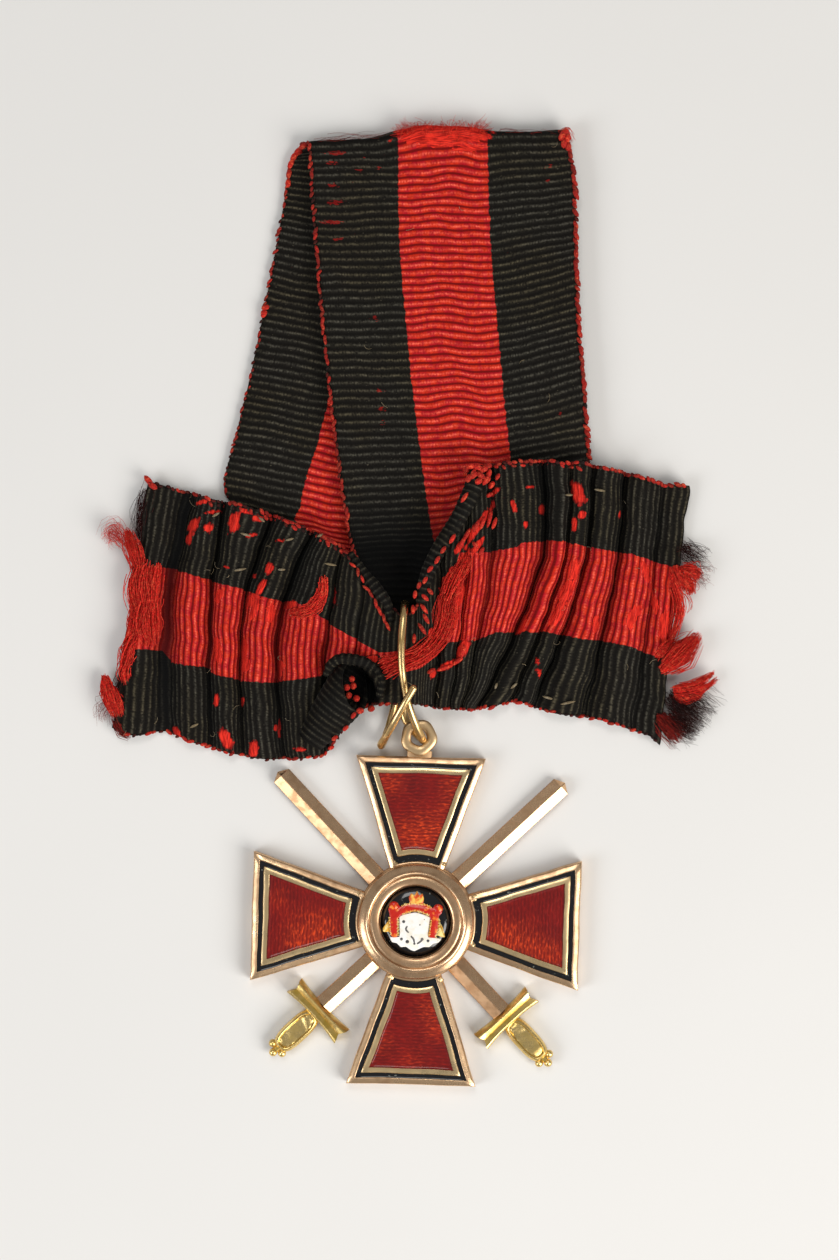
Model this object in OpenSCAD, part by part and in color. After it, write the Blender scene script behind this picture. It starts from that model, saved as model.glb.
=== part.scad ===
// An order badge: an enamelled gold cross with crossed swords, hung by a wire ring from a
// folded silk ribbon with a frayed bow. It lies on its back, with +Y towards the ribbon's top.
// The origin is the centre of the cross, on its flat back. All sizes are in millimetres.

/* [Cross] */
// Tip to tip across two opposite arms
cross_span = 34.7; // [34:0.1:35.5]
// Width of an arm at its outer end
arm_outer_w = 13.7; // [13:0.1:14.4]
// Width of an arm where it meets the hub
arm_inner_w = 5.8; // [5.4:0.1:6.2]
// Distance of that narrow place from the centre
arm_inner_r = 5.55; // [5.3:0.05:5.8]
// Height of the gold rims above the back
frame_h = 1.9; // [1.7:0.1:2.1]
// Height of the cell floor that the enamel lies on
cell_floor = 1.0; // [0.8:0.1:1.1]
// Width of the outer gold rim
rim_w = 0.68; // [0.6:0.02:0.76]
// Width of the black enamel line
black_w = 0.5; // [0.4:0.05:0.6]
// Width of the gold line between black and red
line_w = 0.5; // [0.4:0.05:0.6]
// Turn of the cross as it lies, seen from the front
cross_turn = -1.8; // [-3:0.1:0]

/* [Centre] */
// Radius of the hub that joins the arms
hub_r = 6.25; // [6.2:0.05:6.3]
// Outer radius of the bezel
bezel_r = 6.1; // [6:0.05:6.15]
// Height of the bezel's ridge above the back
bezel_h = 3.5; // [3.2:0.1:3.8]
// Radius of the enamelled centre disc
disc_r = 3.72; // [3.7:0.01:3.74]
// Height of the centre disc above the back
disc_h = 2.7; // [2.6:0.05:2.8]

/* [Swords] */
// Width of a blade
blade_w = 2.15; // [2:0.05:2.3]
// Angle of the sword whose point is at the upper right, from the cross's right arm
right_angle = 44.5; // [43:0.1:46]
// Angle of the sword whose point is at the upper left
left_angle = 134.7; // [133.5:0.1:136]
// Reach of the blades' points from the centre
blade_reach = 21.5; // [20:0.1:22]
// Distance of the guards from the centre
guard_r = 14.05; // [13.5:0.05:14.6]
// Length of a guard
guard_l = 7.3; // [6.8:0.1:7.8]
// Length of a grip
grip_l = 4.3; // [4:0.1:4.6]

/* [Eyelet and ring] */
// Radius of the eyelet
eyelet_r = 1.9; // [1.8:0.05:2]
// Radius of its hole
eyelet_hole_r = 0.9; // [0.85:0.05:0.95]
// Distance of the hole from the cross's centre
eyelet_y = 19.3; // [19.2:0.05:19.4]
// Diameter of the ring's wire
wire_d = 0.8; // [0.7:0.05:0.85]

/* [Ribbon] */
// Thickness of the ribbon's wall
cloth = 1.0; // [1:0.05:1.1]
// Height of the front strand's middle above the table
front_z = 1.8; // [1.75:0.05:1.9]

/* [Hidden] */
ARMS = [["top", 0], ["right", -90], ["bottom", 180], ["left", 90]];
$fn = 64;

gap = 0.04;
enamel_drop = 0.1;
edge_bevel = 0.16;
arm_r = cross_span / 2;
arm_slope = (arm_outer_w - arm_inner_w) / 2 / (arm_r - arm_inner_r);
black_end_r = hub_r + 0.12;
line_end_r = black_end_r + 0.72;
red_end_r = line_end_r + line_w;
blade_z = 0.35;
blade_edge_h = 0.5;
blade_h = 1.05;
lap_z = blade_z + 0.53;
hilt_z = 0.15;
guard_w = 1.4;
guard_end_w = 2.1;
guard_h = 1.6;
grip_h = 1.35;
bead_r = 0.45;
eyelet_h = 1.0;
collar_w = 2.6;
relief = 0.14;
mantle_relief = 0.2;
gold = [0.86, 0.62, 0.38];
yellow_gold = [0.88, 0.7, 0.3];
red = [0.6, 0.05, 0.03];
black = [0.04, 0.04, 0.04];
white = [0.93, 0.9, 0.85];
silk = [0.35, 0.05, 0.05];

// Points on a smooth curve through the rows of a table. Every column is smoothed alike.
function between(a, b, c, d, t) =
    0.5 * (2 * b + (c - a) * t + (2 * a - 5 * b + 4 * c - d) * t * t
        + (3 * b - a - 3 * c + d) * t * t * t);
function smooth(rows, steps) = concat([
    for (i = [0:len(rows) - 2], k = [0:steps - 1])
        between(rows[max(i - 1, 0)], rows[i], rows[i + 1], rows[min(i + 2, len(rows) - 1)], k / steps)
], [rows[len(rows) - 1]]);
function mix(a, b, t) = a + (b - a) * t;
function unit(v) = v / norm(v);
function quad(a, b, c, d) = [[a, b, c], [a, c, d]];

// A closed wall between two grids of points that have the same rows and columns.
module wall_between(upper, lower) {
    rows = len(upper);
    cols = len(upper[0]);
    function at(side, i, j) = (side * rows + i) * cols + j;
    points = concat([for (row = upper) each row], [for (row = lower) each row]);
    faces = concat(
        [for (i = [0:rows - 2], j = [0:cols - 2])
            each quad(at(0, i, j), at(0, i, j + 1), at(0, i + 1, j + 1), at(0, i + 1, j))],
        [for (i = [0:rows - 2], j = [0:cols - 2])
            each quad(at(1, i, j), at(1, i + 1, j), at(1, i + 1, j + 1), at(1, i, j + 1))],
        [for (i = [0:rows - 2])
            each quad(at(0, i + 1, 0), at(1, i + 1, 0), at(1, i, 0), at(0, i, 0))],
        [for (i = [0:rows - 2]) let (j = cols - 1)
            each quad(at(0, i, j), at(1, i, j), at(1, i + 1, j), at(0, i + 1, j))],
        [for (j = [0:cols - 2])
            each quad(at(0, 0, j), at(1, 0, j), at(1, 0, j + 1), at(0, 0, j + 1))],
        [for (j = [0:cols - 2]) let (i = rows - 1)
            each quad(at(0, i, j + 1), at(1, i, j + 1), at(1, i, j), at(0, i, j))]
    );
    polyhedron(points = points, faces = faces, convexity = 8);
}

// The outline of an arm that points along +Y, drawn in from its edges by inset.
module arm_outline(inset) {
    in_x = inset * sqrt(1 + arm_slope * arm_slope);
    half = function (y) arm_inner_w / 2 + (y - arm_inner_r) * arm_slope - in_x;
    top = arm_r - inset;
    foot = arm_inner_r - 1;
    polygon([[-half(foot), foot], [half(foot), foot], [half(top), top], [-half(top), top]]);
}

module line_outline(grow) {
    difference() {
        arm_outline(rim_w + black_w - grow);
        circle(line_end_r - grow);
    }
}

module red_outline(shrink) {
    difference() {
        arm_outline(rim_w + black_w + line_w + shrink);
        circle(red_end_r + shrink);
    }
}

module black_outline(shrink) {
    difference() {
        arm_outline(rim_w + shrink);
        circle(black_end_r + shrink);
        line_outline(shrink);
    }
}

// Takes the sharp edge off a rim that runs from p to q with its metal on the left.
module bevel_cut(p, q) {
    run = q - p;
    translate([p[0], p[1], frame_h - edge_bevel])
        rotate([0, 0, atan2(run[1], run[0])])
            rotate([45, 0, 0])
                translate([0, -1, 0])
                    cube([norm(run), 1 + edge_bevel * 2, 1]);
}

module arm() {
    bevel_foot = hub_r + 0.3;
    foot_half = arm_inner_w / 2 + (bevel_foot - arm_inner_r) * arm_slope;
    half = arm_outer_w / 2;
    difference() {
        linear_extrude(frame_h) arm_outline(0);
        translate([0, 0, cell_floor]) linear_extrude(frame_h) black_outline(0);
        translate([0, 0, cell_floor]) linear_extrude(frame_h) red_outline(0);
        bevel_cut([foot_half, bevel_foot], [half + arm_slope, arm_r + 1]);
        bevel_cut([half + 1, arm_r], [-half - 1, arm_r]);
        bevel_cut([-half - arm_slope, arm_r + 1], [-foot_half, bevel_foot]);
    }
}

module eyelet() {
    translate([0, eyelet_y, frame_h - eyelet_h])
        cylinder(r = eyelet_r, h = eyelet_h);
    translate([-collar_w / 2, arm_r - 0.5, frame_h - eyelet_h])
        cube([collar_w, eyelet_y - arm_r - 0.6, eyelet_h]);
}

// The space that a blade passes through, with room all round it.
module blade_channel(angle) {
    rotate([0, 0, angle])
        rotate([90, 0, 90])
            translate([0, blade_z, -12])
                linear_extrude(24)
                    polygon([
                        [-blade_w / 2 - gap, -gap], [blade_w / 2 + gap, -gap],
                        [blade_w / 2 + gap, blade_edge_h + gap], [0, blade_h + gap * 2],
                        [-blade_w / 2 - gap, blade_edge_h + gap]
                    ]);
}

module cross_frame() color(gold) rotate([0, 0, cross_turn]) difference() {
    union() {
        for (arm = ARMS) rotate([0, 0, arm[1]]) arm();
        cylinder(r = hub_r, h = frame_h);
        eyelet();
    }
    blade_channel(right_angle);
    blade_channel(left_angle);
    translate([0, eyelet_y, -1]) cylinder(r = eyelet_hole_r, h = frame_h + 2);
}

module enamel_body(turn) {
    rotate([0, 0, cross_turn + turn])
        translate([0, 0, cell_floor + gap])
            linear_extrude(frame_h - cell_floor - gap - enamel_drop)
                children();
}

module red_enamel(turn) color(red) enamel_body(turn) red_outline(gap);

module black_enamel(turn) color(black) enamel_body(turn) black_outline(gap);

// Outline of the bezel's wall, from its foot outwards and over the ridge: radius and height.
module centre_bezel() color(gold) rotate_extrude() polygon([
    [disc_r + gap, frame_h + gap],
    [bezel_r - 0.15, frame_h + gap],
    [bezel_r, frame_h + 0.2],
    [bezel_r, bezel_h - 0.75],
    [bezel_r - 0.45, bezel_h - 0.1],
    [bezel_r - 0.7, bezel_h],
    [bezel_r - 0.95, bezel_h - 0.1],
    [bezel_r - 1.3, bezel_h - 0.5],
    [bezel_r - 1.45, bezel_h - 0.4],
    [disc_r + 0.3, bezel_h - 0.4],
    [disc_r + gap, bezel_h - 0.5]
]);

module centre_disc() color(black) translate([0, 0, frame_h + gap])
    cylinder(r = disc_r, h = disc_h - frame_h - gap);

module relief_body(height = relief) {
    rotate([0, 0, cross_turn])
        translate([0, 0, disc_h + gap / 2])
            linear_extrude(height)
                children();
}

// The ermine lining: a field with a scalloped lower edge.
module emblem_lining() color(white) relief_body() difference() {
    polygon([
        [-1.7, 1.05], [-1.75, -0.4], [-1.72, -1.6], [-2.5, -1.6], [-2.3, -2.25], [-1.3, -2.7],
        [-0.2, -3.0], [1.0, -2.75], [2.15, -2.2], [2.3, -1.7], [1.4, -1.6], [1.4, -0.4], [1.6, 1.05]
    ]);
    for (spot = [[-1.85, -2.62], [-0.75, -3.05], [0.5, -3.08], [1.65, -2.66]])
        translate(spot) circle(0.18);
}

// The mantle: two knotted shoulders, an arch over the lining and a fall of cloth at each side.
module emblem_mantle() color(red) union() {
    relief_body(mantle_relief) polygon([
        [-2.75, 1.5], [-1.2, 1.35], [0, 1.85], [1.2, 1.35], [2.6, 1.5], [2.4, -0.1],
        [2.6, -1.2], [1.9, -1.5], [1.45, -1.45], [1.65, 1.1], [-1.75, 1.1], [-1.8, -1.55],
        [-2.4, -1.5], [-2.8, -1.2], [-2.6, 0.1]
    ]);
    for (knot = [[-2.4, 1.6], [2.3, 1.55]])
        relief_body(mantle_relief + 0.04) translate(knot) circle(0.5);
}

// The crown: a band, two side hoops and a ball on top.
module emblem_crown() color(yellow_gold) relief_body(relief + 0.1) union() {
    translate([-0.62, 1.9]) square([1.24, 0.4]);
    translate([-0.42, 2.55]) circle(0.4);
    translate([0.42, 2.55]) circle(0.4);
    translate([0, 2.65]) circle(0.42);
    translate([0, 3.2]) circle(0.2);
}

module emblem_fringe(side) color(yellow_gold) relief_body() polygon([
    [side * 2.9, -0.1], [side * 3.3, -0.7], [side * 3.25, -1.35], [side * 2.86, -1.35]
]);

// A blade along +X: a flat back, two upright edges and two faces that meet in a ridge.
module blade(angle, over) {
    half = blade_w / 2;
    color(gold) rotate([0, 0, cross_turn + angle]) difference() {
        rotate([90, 0, 90])
            translate([0, blade_z, -guard_r + guard_w / 2 + gap])
                linear_extrude(blade_reach + guard_r - guard_w / 2 - gap)
                    polygon([[-half, 0], [half, 0], [half, blade_edge_h], [0, blade_h],
                        [-half, blade_edge_h]]);
        for (side = [-1, 1])
            translate([blade_reach, 0, 0])
                rotate([0, 0, side * 28])
                    translate([0, side < 0 ? -6 : 0, -1])
                        cube([4, 6, 4]);
        translate([blade_reach - 0.55, -4, blade_z + blade_h - 0.1])
            rotate([0, 35, 0])
                cube([4, 8, 4]);
        translate([-half - gap, -half - 0.5, over ? blade_z - 1 : lap_z - gap / 2])
            cube([blade_w + gap * 2, blade_w + 1, over ? lap_z + gap / 2 - blade_z + 1 : 2]);
    }
}

// The hilt lies along -X of its sword: a swallow-tailed guard, a waisted grip and three beads.
module hilt(angle) {
    tail = guard_l / 2;
    grip_end = -guard_r - guard_w / 2 - grip_l;
    color(yellow_gold) rotate([0, 0, cross_turn + angle]) union() {
        difference() {
            translate([-guard_r, 0, hilt_z]) linear_extrude(guard_h) polygon([
                [-guard_w / 2, -1.6], [-guard_w / 2, 1.6], [-guard_end_w / 2, tail],
                [0, tail - 0.75], [guard_end_w / 2, tail], [guard_w / 2, 1.6],
                [guard_w / 2, -1.6], [guard_end_w / 2, -tail], [0, -tail + 0.75],
                [-guard_end_w / 2, -tail]
            ]);
            translate([-guard_r, 0, hilt_z + guard_h + 0.12])
                rotate([0, 45, 0])
                    cube([0.55, guard_l + 2, 0.55], center = true);
        }
        difference() {
            translate([-guard_r - guard_w / 2 + 0.2, 0, hilt_z]) linear_extrude(grip_h) polygon([
                [0, -1.2], [0, 1.2], [-1.9, 1.28], [-grip_l - 0.2, 0.93], [-grip_l - 0.2, -0.93],
                [-1.9, -1.28]
            ]);
            translate([-guard_r - guard_w / 2, 0, hilt_z + grip_h - 0.25]) linear_extrude(1) polygon([
                [-0.35, -0.8], [-0.35, 0.8], [-1.9, 0.88], [-grip_l + 0.4, 0.58],
                [-grip_l + 0.4, -0.58], [-1.9, -0.88]
            ]);
        }
        for (bead = [[0.1, -0.62], [0.1, 0.62], [-0.5, 0]])
            translate([grip_end + bead[0], bead[1], hilt_z + grip_h / 2])
                sphere(bead_r);
    }
}

// Route of the ring's wire, from its free end over the front, round behind the neck of the bow,
// over the top, down the front, through the eyelet and up behind the neck again.
// Columns: x, y and height of the wire's middle.
ring_route = [
    [-0.25, 24.7, 6.65], [-1.2, 23.1, 6.3], [-2.2, 21.3, 5.3], [-3.1, 19.7, 3.8],
    [-3.65, 18.75, 2.2], [-3.55, 18.7, 1.0], [-3.0, 20.1, 0.48], [-2.5, 21.9, 0.46],
    [-2.15, 23.6, 0.46], [-1.8, 26.5, 0.46], [-1.5, 30.0, 0.46], [-1.25, 32.6, 0.8],
    [-1.15, 33.45, 2.2], [-1.15, 33.45, 4.2], [-1.25, 32.4, 5.6], [-1.45, 30.2, 6.15],
    [-1.5, 28.2, 6.2], [-1.4, 26.4, 6.0], [-1.1, 24.4, 5.3], [-0.6, 22.5, 4.6],
    [0.05, 20.7, 3.6], [0.6, 19.5, 2.5], [0.75, 19.15, 1.45], [0.3, 19.55, 0.62],
    [-0.6, 20.5, 0.44], [-1.25, 21.7, 0.44], [-1.15, 23.6, 0.44], [-0.75, 26.2, 0.44],
    [-0.4, 28.6, 0.44]
];
wire_sides = 6;

// A closed tube through rings of points that turn left about the way it runs.
module tube_of(rings) {
    n = len(rings);
    sides = len(rings[0]);
    faces = concat(
        [[for (k = [0:sides - 1]) k]],
        [for (i = [0:n - 2], k = [0:sides - 1]) let (next = (k + 1) % sides)
            each quad(i * sides + k, (i + 1) * sides + k, (i + 1) * sides + next, i * sides + next)],
        [[for (k = [0:sides - 1]) n * sides - 1 - k]]
    );
    polyhedron(points = [for (ring = rings) each ring], faces = faces);
}

// A round tube along a smooth route, with a flat end at each side.
module wire(route, radius, sides) {
    n = len(route);
    tangent = [for (i = [0:n - 1]) unit(route[min(i + 1, n - 1)] - route[max(i - 1, 0)])];
    across = function (i, last) unit(last - tangent[i] * (last * tangent[i]));
    starts = [for (i = 0, a = across(0, [1, 0, 0]); i < n; i = i + 1, a = i < n ? across(i, a) : a) a];
    tube_of([for (i = [0:n - 1])
        let (u = starts[i], v = cross(tangent[i], u))
            [for (k = [0:sides - 1])
                route[i] + radius * (u * cos(k * 360 / sides) + v * sin(k * 360 / sides))]]);
}

module suspension_ring() color(gold) wire(smooth(ring_route, 3), wire_d / 2, wire_sides);

// The long ribbon: each row is one line across it.
// Columns: x and y of its left edge, x and y of its right edge, height of its middle.
strand_z = cloth / 2 + 0.02;
back_strand = [
    [-4.2, 34.7, 2.6, 34.7, strand_z], [-9.5, 38.6, 3.4, 36.6, strand_z],
    [-17.2, 42.8, 5.0, 38.6, strand_z], [-20.3, 45.6, 6.2, 40.2, strand_z],
    [-18.9, 52.2, 7.6, 46.8, strand_z], [-17.4, 58.6, 9.0, 53.2, strand_z],
    [-15.4, 68.4, 11.0, 63.4, strand_z], [-13.6, 76.0, 13.0, 72.6, strand_z],
    [-12.6, 79.8, 14.6, 78.6, strand_z]
];
front_strand = [
    [-11.2, 79.8, 16.5, 80.6, front_z], [-11.0, 76.5, 16.9, 77.0, front_z],
    [-10.5, 70.2, 17.0, 70.6, front_z], [-9.6, 59.9, 17.4, 60.3, front_z],
    [-8.6, 51.5, 18.1, 52.0, front_z], [-7.5, 43.3, 17.6, 44.6, front_z],
    [-6.4, 38.4, 9.6, 39.0, front_z], [-3.9, 34.7, 4.6, 34.7, front_z]
];
fold_left = [-11.5, 81.4];
fold_right = [15.9, 82.6];
strand_cols = 8;

module ribbon_loop() {
    fold_r = (front_z - strand_z) / 2;
    fold = [for (a = [-90:30:90]) [
        fold_left[0], fold_left[1] + fold_r * cos(a),
        fold_right[0], fold_right[1] + fold_r * cos(a), (front_z + strand_z) / 2 + fold_r * sin(a)
    ]];
    rows = concat(smooth(back_strand, 3), fold, smooth(front_strand, 3));
    n = len(rows);
    left = [for (r = rows) [r[0], r[1], r[4]]];
    right = [for (r = rows) [r[2], r[3], r[4]]];
    normal = [for (i = [0:n - 1])
        let (
            run = unit(left[min(i + 1, n - 1)] - left[max(i - 1, 0)])
                + unit(right[min(i + 1, n - 1)] - right[max(i - 1, 0)])
        ) unit(cross(right[i] - left[i], run))];
    face = function (side) [for (i = [0:n - 1])
        [for (j = [0:strand_cols]) mix(left[i], right[i], j / strand_cols) + normal[i] * side]];
    color(silk) wall_between(face(-cloth / 2), face(cloth / 2));
}

// The bow: each row is one fold or hollow, a line from the lower to the upper selvedge.
// Columns: x and y of the lower end, x and y of the upper end, sideways bend of the line at its
// middle, height of the cloth's top at the lower end, middle and upper end, thickness.
bow_folds = [
    [-32.1, 20.3, -28.3, 46.6, 0.0, 1.1, 1.2, 1.1, 1.0],
    [-29.7, 19.5, -26.5, 46.1, -0.6, 1.5, 2.0, 1.5, 1.0],
    [-26.6, 20.1, -23.8, 45.4, -1.2, 1.0, 1.1, 1.2, 1.0],
    [-23.9, 19.1, -22.2, 44.9, -1.0, 1.6, 2.1, 2.2, 1.0],
    [-21.7, 18.4, -20.2, 44.3, -0.9, 1.1, 1.5, 2.3, 1.0],
    [-20.0, 17.8, -17.9, 43.8, -1.3, 1.6, 2.4, 2.8, 1.0],
    [-18.4, 17.5, -15.1, 42.9, -1.9, 1.1, 1.7, 2.5, 1.0],
    [-16.1, 17.2, -13.0, 42.2, -2.2, 1.7, 2.8, 3.2, 1.0],
    [-13.9, 17.1, -10.8, 41.3, -2.6, 1.2, 2.2, 3.2, 1.0],
    [-11.7, 17.1, -9.0, 40.3, -1.6, 1.7, 3.2, 3.9, 1.0],
    [-9.6, 17.6, -7.7, 39.5, -0.8, 1.4, 3.1, 4.0, 1.0],
    [-8.2, 19.5, -6.6, 38.4, -0.2, 1.6, 3.7, 4.4, 1.0],
    [-7.2, 21.1, -5.3, 36.6, 0.0, 2.0, 4.2, 4.7, 1.2],
    [-5.8, 22.4, -3.9, 34.7, 0.0, 2.6, 4.6, 4.9, 1.6],
    [-3.6, 23.0, -2.6, 33.2, 0.0, 3.8, 5.0, 4.9, 2.8],
    [-1.4, 23.1, -1.3, 32.2, 0.0, 4.3, 5.2, 4.7, 3.2],
    [-0.3, 23.0, 0.2, 33.3, 0.0, 3.8, 5.0, 4.9, 2.8],
    [0.5, 22.9, 0.7, 35.6, 0.0, 3.0, 4.9, 5.0, 1.6],
    [1.2, 22.8, 1.4, 38.2, 0.1, 2.5, 4.6, 4.9, 1.2],
    [1.9, 22.7, 2.6, 40.3, 0.3, 1.9, 4.1, 4.8, 1.0],
    [2.7, 22.6, 4.0, 42.2, 0.5, 2.4, 4.5, 4.8, 1.0],
    [3.5, 22.6, 5.3, 44.2, 0.7, 1.7, 4.0, 4.7, 1.0],
    [4.2, 22.5, 6.2, 46.8, 0.9, 2.3, 4.4, 4.6, 1.0],
    [4.9, 22.5, 7.7, 48.2, 1.3, 1.7, 3.9, 4.4, 1.0],
    [5.6, 22.4, 10.5, 48.4, 2.2, 2.2, 4.3, 4.5, 1.0],
    [6.5, 22.4, 13.4, 48.6, 2.8, 1.3, 3.3, 4.0, 1.0],
    [8.0, 22.6, 14.9, 48.5, 2.6, 2.1, 3.9, 4.4, 1.0],
    [10.0, 23.1, 16.3, 48.3, 1.8, 1.3, 3.1, 4.0, 1.0],
    [11.2, 23.1, 17.5, 48.3, 2.0, 2.0, 3.6, 4.2, 1.0],
    [12.3, 22.8, 18.6, 48.0, 1.7, 1.1, 2.8, 3.8, 1.0],
    [14.8, 22.1, 20.3, 47.7, 1.3, 1.8, 2.8, 3.3, 1.0],
    [17.6, 21.6, 22.0, 47.4, 1.0, 1.1, 1.8, 1.9, 1.0],
    [20.2, 21.0, 23.9, 47.1, 0.6, 1.7, 2.2, 2.1, 1.0],
    [22.8, 20.2, 26.1, 46.5, 0.3, 1.1, 1.4, 1.3, 1.0],
    [24.6, 19.6, 27.8, 46.3, 0.1, 1.4, 1.7, 1.5, 1.0],
    [25.7, 18.6, 28.9, 46.2, 0.0, 1.0, 1.1, 1.0, 1.0]
];
bow_cols = 10;
bow_lift = 0.02;

function bow_height(r, t) =
    r[5] * (1 - t) * (1 - 2 * t) + r[6] * 4 * t * (1 - t) + r[7] * t * (2 * t - 1);
function bow_point(r, t, drop) = [
    mix(r[0], r[2], t) + r[4] * 4 * t * (1 - t),
    mix(r[1], r[3], t),
    max(bow_lift, bow_height(r, t) - drop * r[8])
];

module bow_sheet() {
    rows = smooth(bow_folds, 3);
    face = function (drop) [for (r = rows) [for (j = [0:bow_cols]) bow_point(r, j / bow_cols, drop)]];
    wall_between(face(0), face(1));
}

// A rolled edge as a chain of rounded links. Columns: x, y, height and radius.
left_roll = [
    [-6.5, 38.5, 4.2, 0.35], [-5.2, 36.6, 4.6, 0.5], [-3.8, 34.7, 4.9, 0.62],
    [-2.9, 33.2, 4.9, 0.55], [-2.6, 31.8, 5.0, 0.35]
];
right_roll = [
    [7.2, 47.3, 4.4, 0.85], [6.2, 45.6, 4.6, 0.9], [4.4, 42.2, 4.8, 0.85], [2.6, 39.6, 4.9, 0.8],
    [1.6, 37.6, 5.0, 0.75], [0.9, 35.5, 5.0, 0.7], [0.55, 33.4, 4.9, 0.6]
];
link_sides = 8;

module chain(links) {
    for (i = [0:len(links) - 2])
        hull() for (link = [links[i], links[i + 1]])
            translate([link[0], link[1], link[2]]) sphere(link[3], $fn = link_sides);
}

// The lower corner of the left wing curls forward into a tube, open towards the neck.
// Columns: x, y and height of the tube's middle, its outer radius.
curl_route = [
    [-5.9, 26.1, 2.9, 2.25], [-7.0, 24.6, 2.7, 2.35], [-8.3, 22.8, 2.4, 2.2],
    [-9.6, 21.1, 2.0, 1.9], [-10.8, 19.6, 1.7, 1.55]
];
curl_sides = 12;
curl_twist = 10;

module curl() {
    n = len(curl_route);
    place = [for (r = curl_route) [r[0], r[1], r[2]]];
    run = unit(place[n - 1] - place[0]);
    across = unit(cross(run, [0, 0, 1]));
    up = cross(run, across);
    ring = function (i, radius)
        [for (k = [0:curl_sides - 1])
            let (a = k * 360 / curl_sides + i * curl_twist)
                place[i] + radius * (across * cos(a) + up * sin(a))];
    difference() {
        tube_of([for (i = [0:n - 1]) ring(i, curl_route[i][3])]);
        tube_of([for (i = [0:n - 1]) [for (p = ring(i, curl_route[i][3] - cloth)) p - run * (i == 0 ? 0.2 : 0.6)]]);
    }
}

// Frayed ends: tufts of loose silk, each a bent tapering lock that lies on the table.
// Columns: x and y of the root, of the bend and of the tip, and the radius at the root.
tufts = [
    [-30.3, 35.2, -30.9, 38.4, -31.6, 41.6, 0.75],
    [-29.6, 32.8, -30.9, 34.6, -31.2, 36.6, 0.7],
    [-30.4, 28.6, -31.0, 27.2, -31.4, 25.4, 0.75],
    [-31.2, 25.6, -32.6, 24.2, -32.6, 22.0, 0.85],
    [-31.6, 21.0, -31.2, 19.8, -30.2, 19.3, 0.6],
    [-30.4, 37.2, -31.8, 39.4, -32.6, 41.2, 0.5],
    [27.2, 36.2, 29.2, 35.6, 30.2, 37.0, 0.8],
    [27.8, 41.0, 29.4, 39.7, 30.4, 38.8, 0.5],
    [26.5, 27.2, 28.0, 28.6, 29.6, 30.2, 0.9],
    [25.9, 24.9, 29.2, 24.2, 31.6, 25.4, 0.55],
    [25.8, 24.2, 29.0, 23.4, 31.0, 24.2, 0.55],
    [26.2, 22.4, 28.2, 21.4, 30.4, 20.8, 0.85],
    [25.6, 20.4, 27.2, 19.4, 28.6, 19.0, 0.7]
];

module tuft(t) {
    root = [t[0], t[1], t[6] + bow_lift, t[6]];
    bend = [t[2], t[3], t[6] * 0.85 + bow_lift, t[6] * 0.85];
    tip = [t[4], t[5], t[6] * 0.45 + bow_lift, t[6] * 0.45];
    chain([root, bend, tip]);
}

module bow() color(silk) union() {
    bow_sheet();
    chain(left_roll);
    chain(right_roll);
    curl();
    for (t = tufts) tuft(t);
}

cross_frame();
for (arm = ARMS) red_enamel(arm[1]);
for (arm = ARMS) black_enamel(arm[1]);
centre_bezel();
centre_disc();
emblem_lining();
emblem_mantle();
emblem_crown();
emblem_fringe(-1);  // emblem_fringe_left
emblem_fringe(1);  // emblem_fringe_right
blade(right_angle, false);  // blade_right
blade(left_angle, true);  // blade_left
hilt(left_angle);  // hilt_right
hilt(right_angle);  // hilt_left
suspension_ring();
ribbon_loop();
bow();
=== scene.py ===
# %% [markdown]
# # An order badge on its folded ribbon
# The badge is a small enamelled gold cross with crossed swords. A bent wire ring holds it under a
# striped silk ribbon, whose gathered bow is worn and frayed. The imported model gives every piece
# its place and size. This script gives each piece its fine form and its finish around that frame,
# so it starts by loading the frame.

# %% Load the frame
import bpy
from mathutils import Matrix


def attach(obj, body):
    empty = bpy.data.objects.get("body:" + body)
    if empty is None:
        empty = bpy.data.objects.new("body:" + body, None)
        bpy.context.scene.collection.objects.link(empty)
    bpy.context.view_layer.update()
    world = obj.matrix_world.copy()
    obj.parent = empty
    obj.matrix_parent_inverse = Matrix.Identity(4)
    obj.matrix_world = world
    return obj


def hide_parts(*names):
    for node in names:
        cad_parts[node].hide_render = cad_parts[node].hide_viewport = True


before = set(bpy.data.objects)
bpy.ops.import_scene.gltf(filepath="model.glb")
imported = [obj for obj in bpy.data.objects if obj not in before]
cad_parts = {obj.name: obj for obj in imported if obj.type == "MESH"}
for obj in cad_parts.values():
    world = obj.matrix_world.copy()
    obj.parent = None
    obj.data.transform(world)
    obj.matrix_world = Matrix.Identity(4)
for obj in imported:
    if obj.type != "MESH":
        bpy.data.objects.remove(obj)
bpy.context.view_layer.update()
print("nodes in the frame:", len(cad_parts))

# %% Libraries and units
import bmesh
import bpy
import numpy as np
from mathutils import Vector

MM = 0.001
TURN = 2 * np.pi
print("Blender", bpy.app.version_string)

# %% [markdown]
# ## Numbers that run through a material
# A material's sums are long to wire by hand. The class below wraps one socket, and its operators
# add Math nodes, so that a worn edge can be written as a sum of masks.

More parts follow.
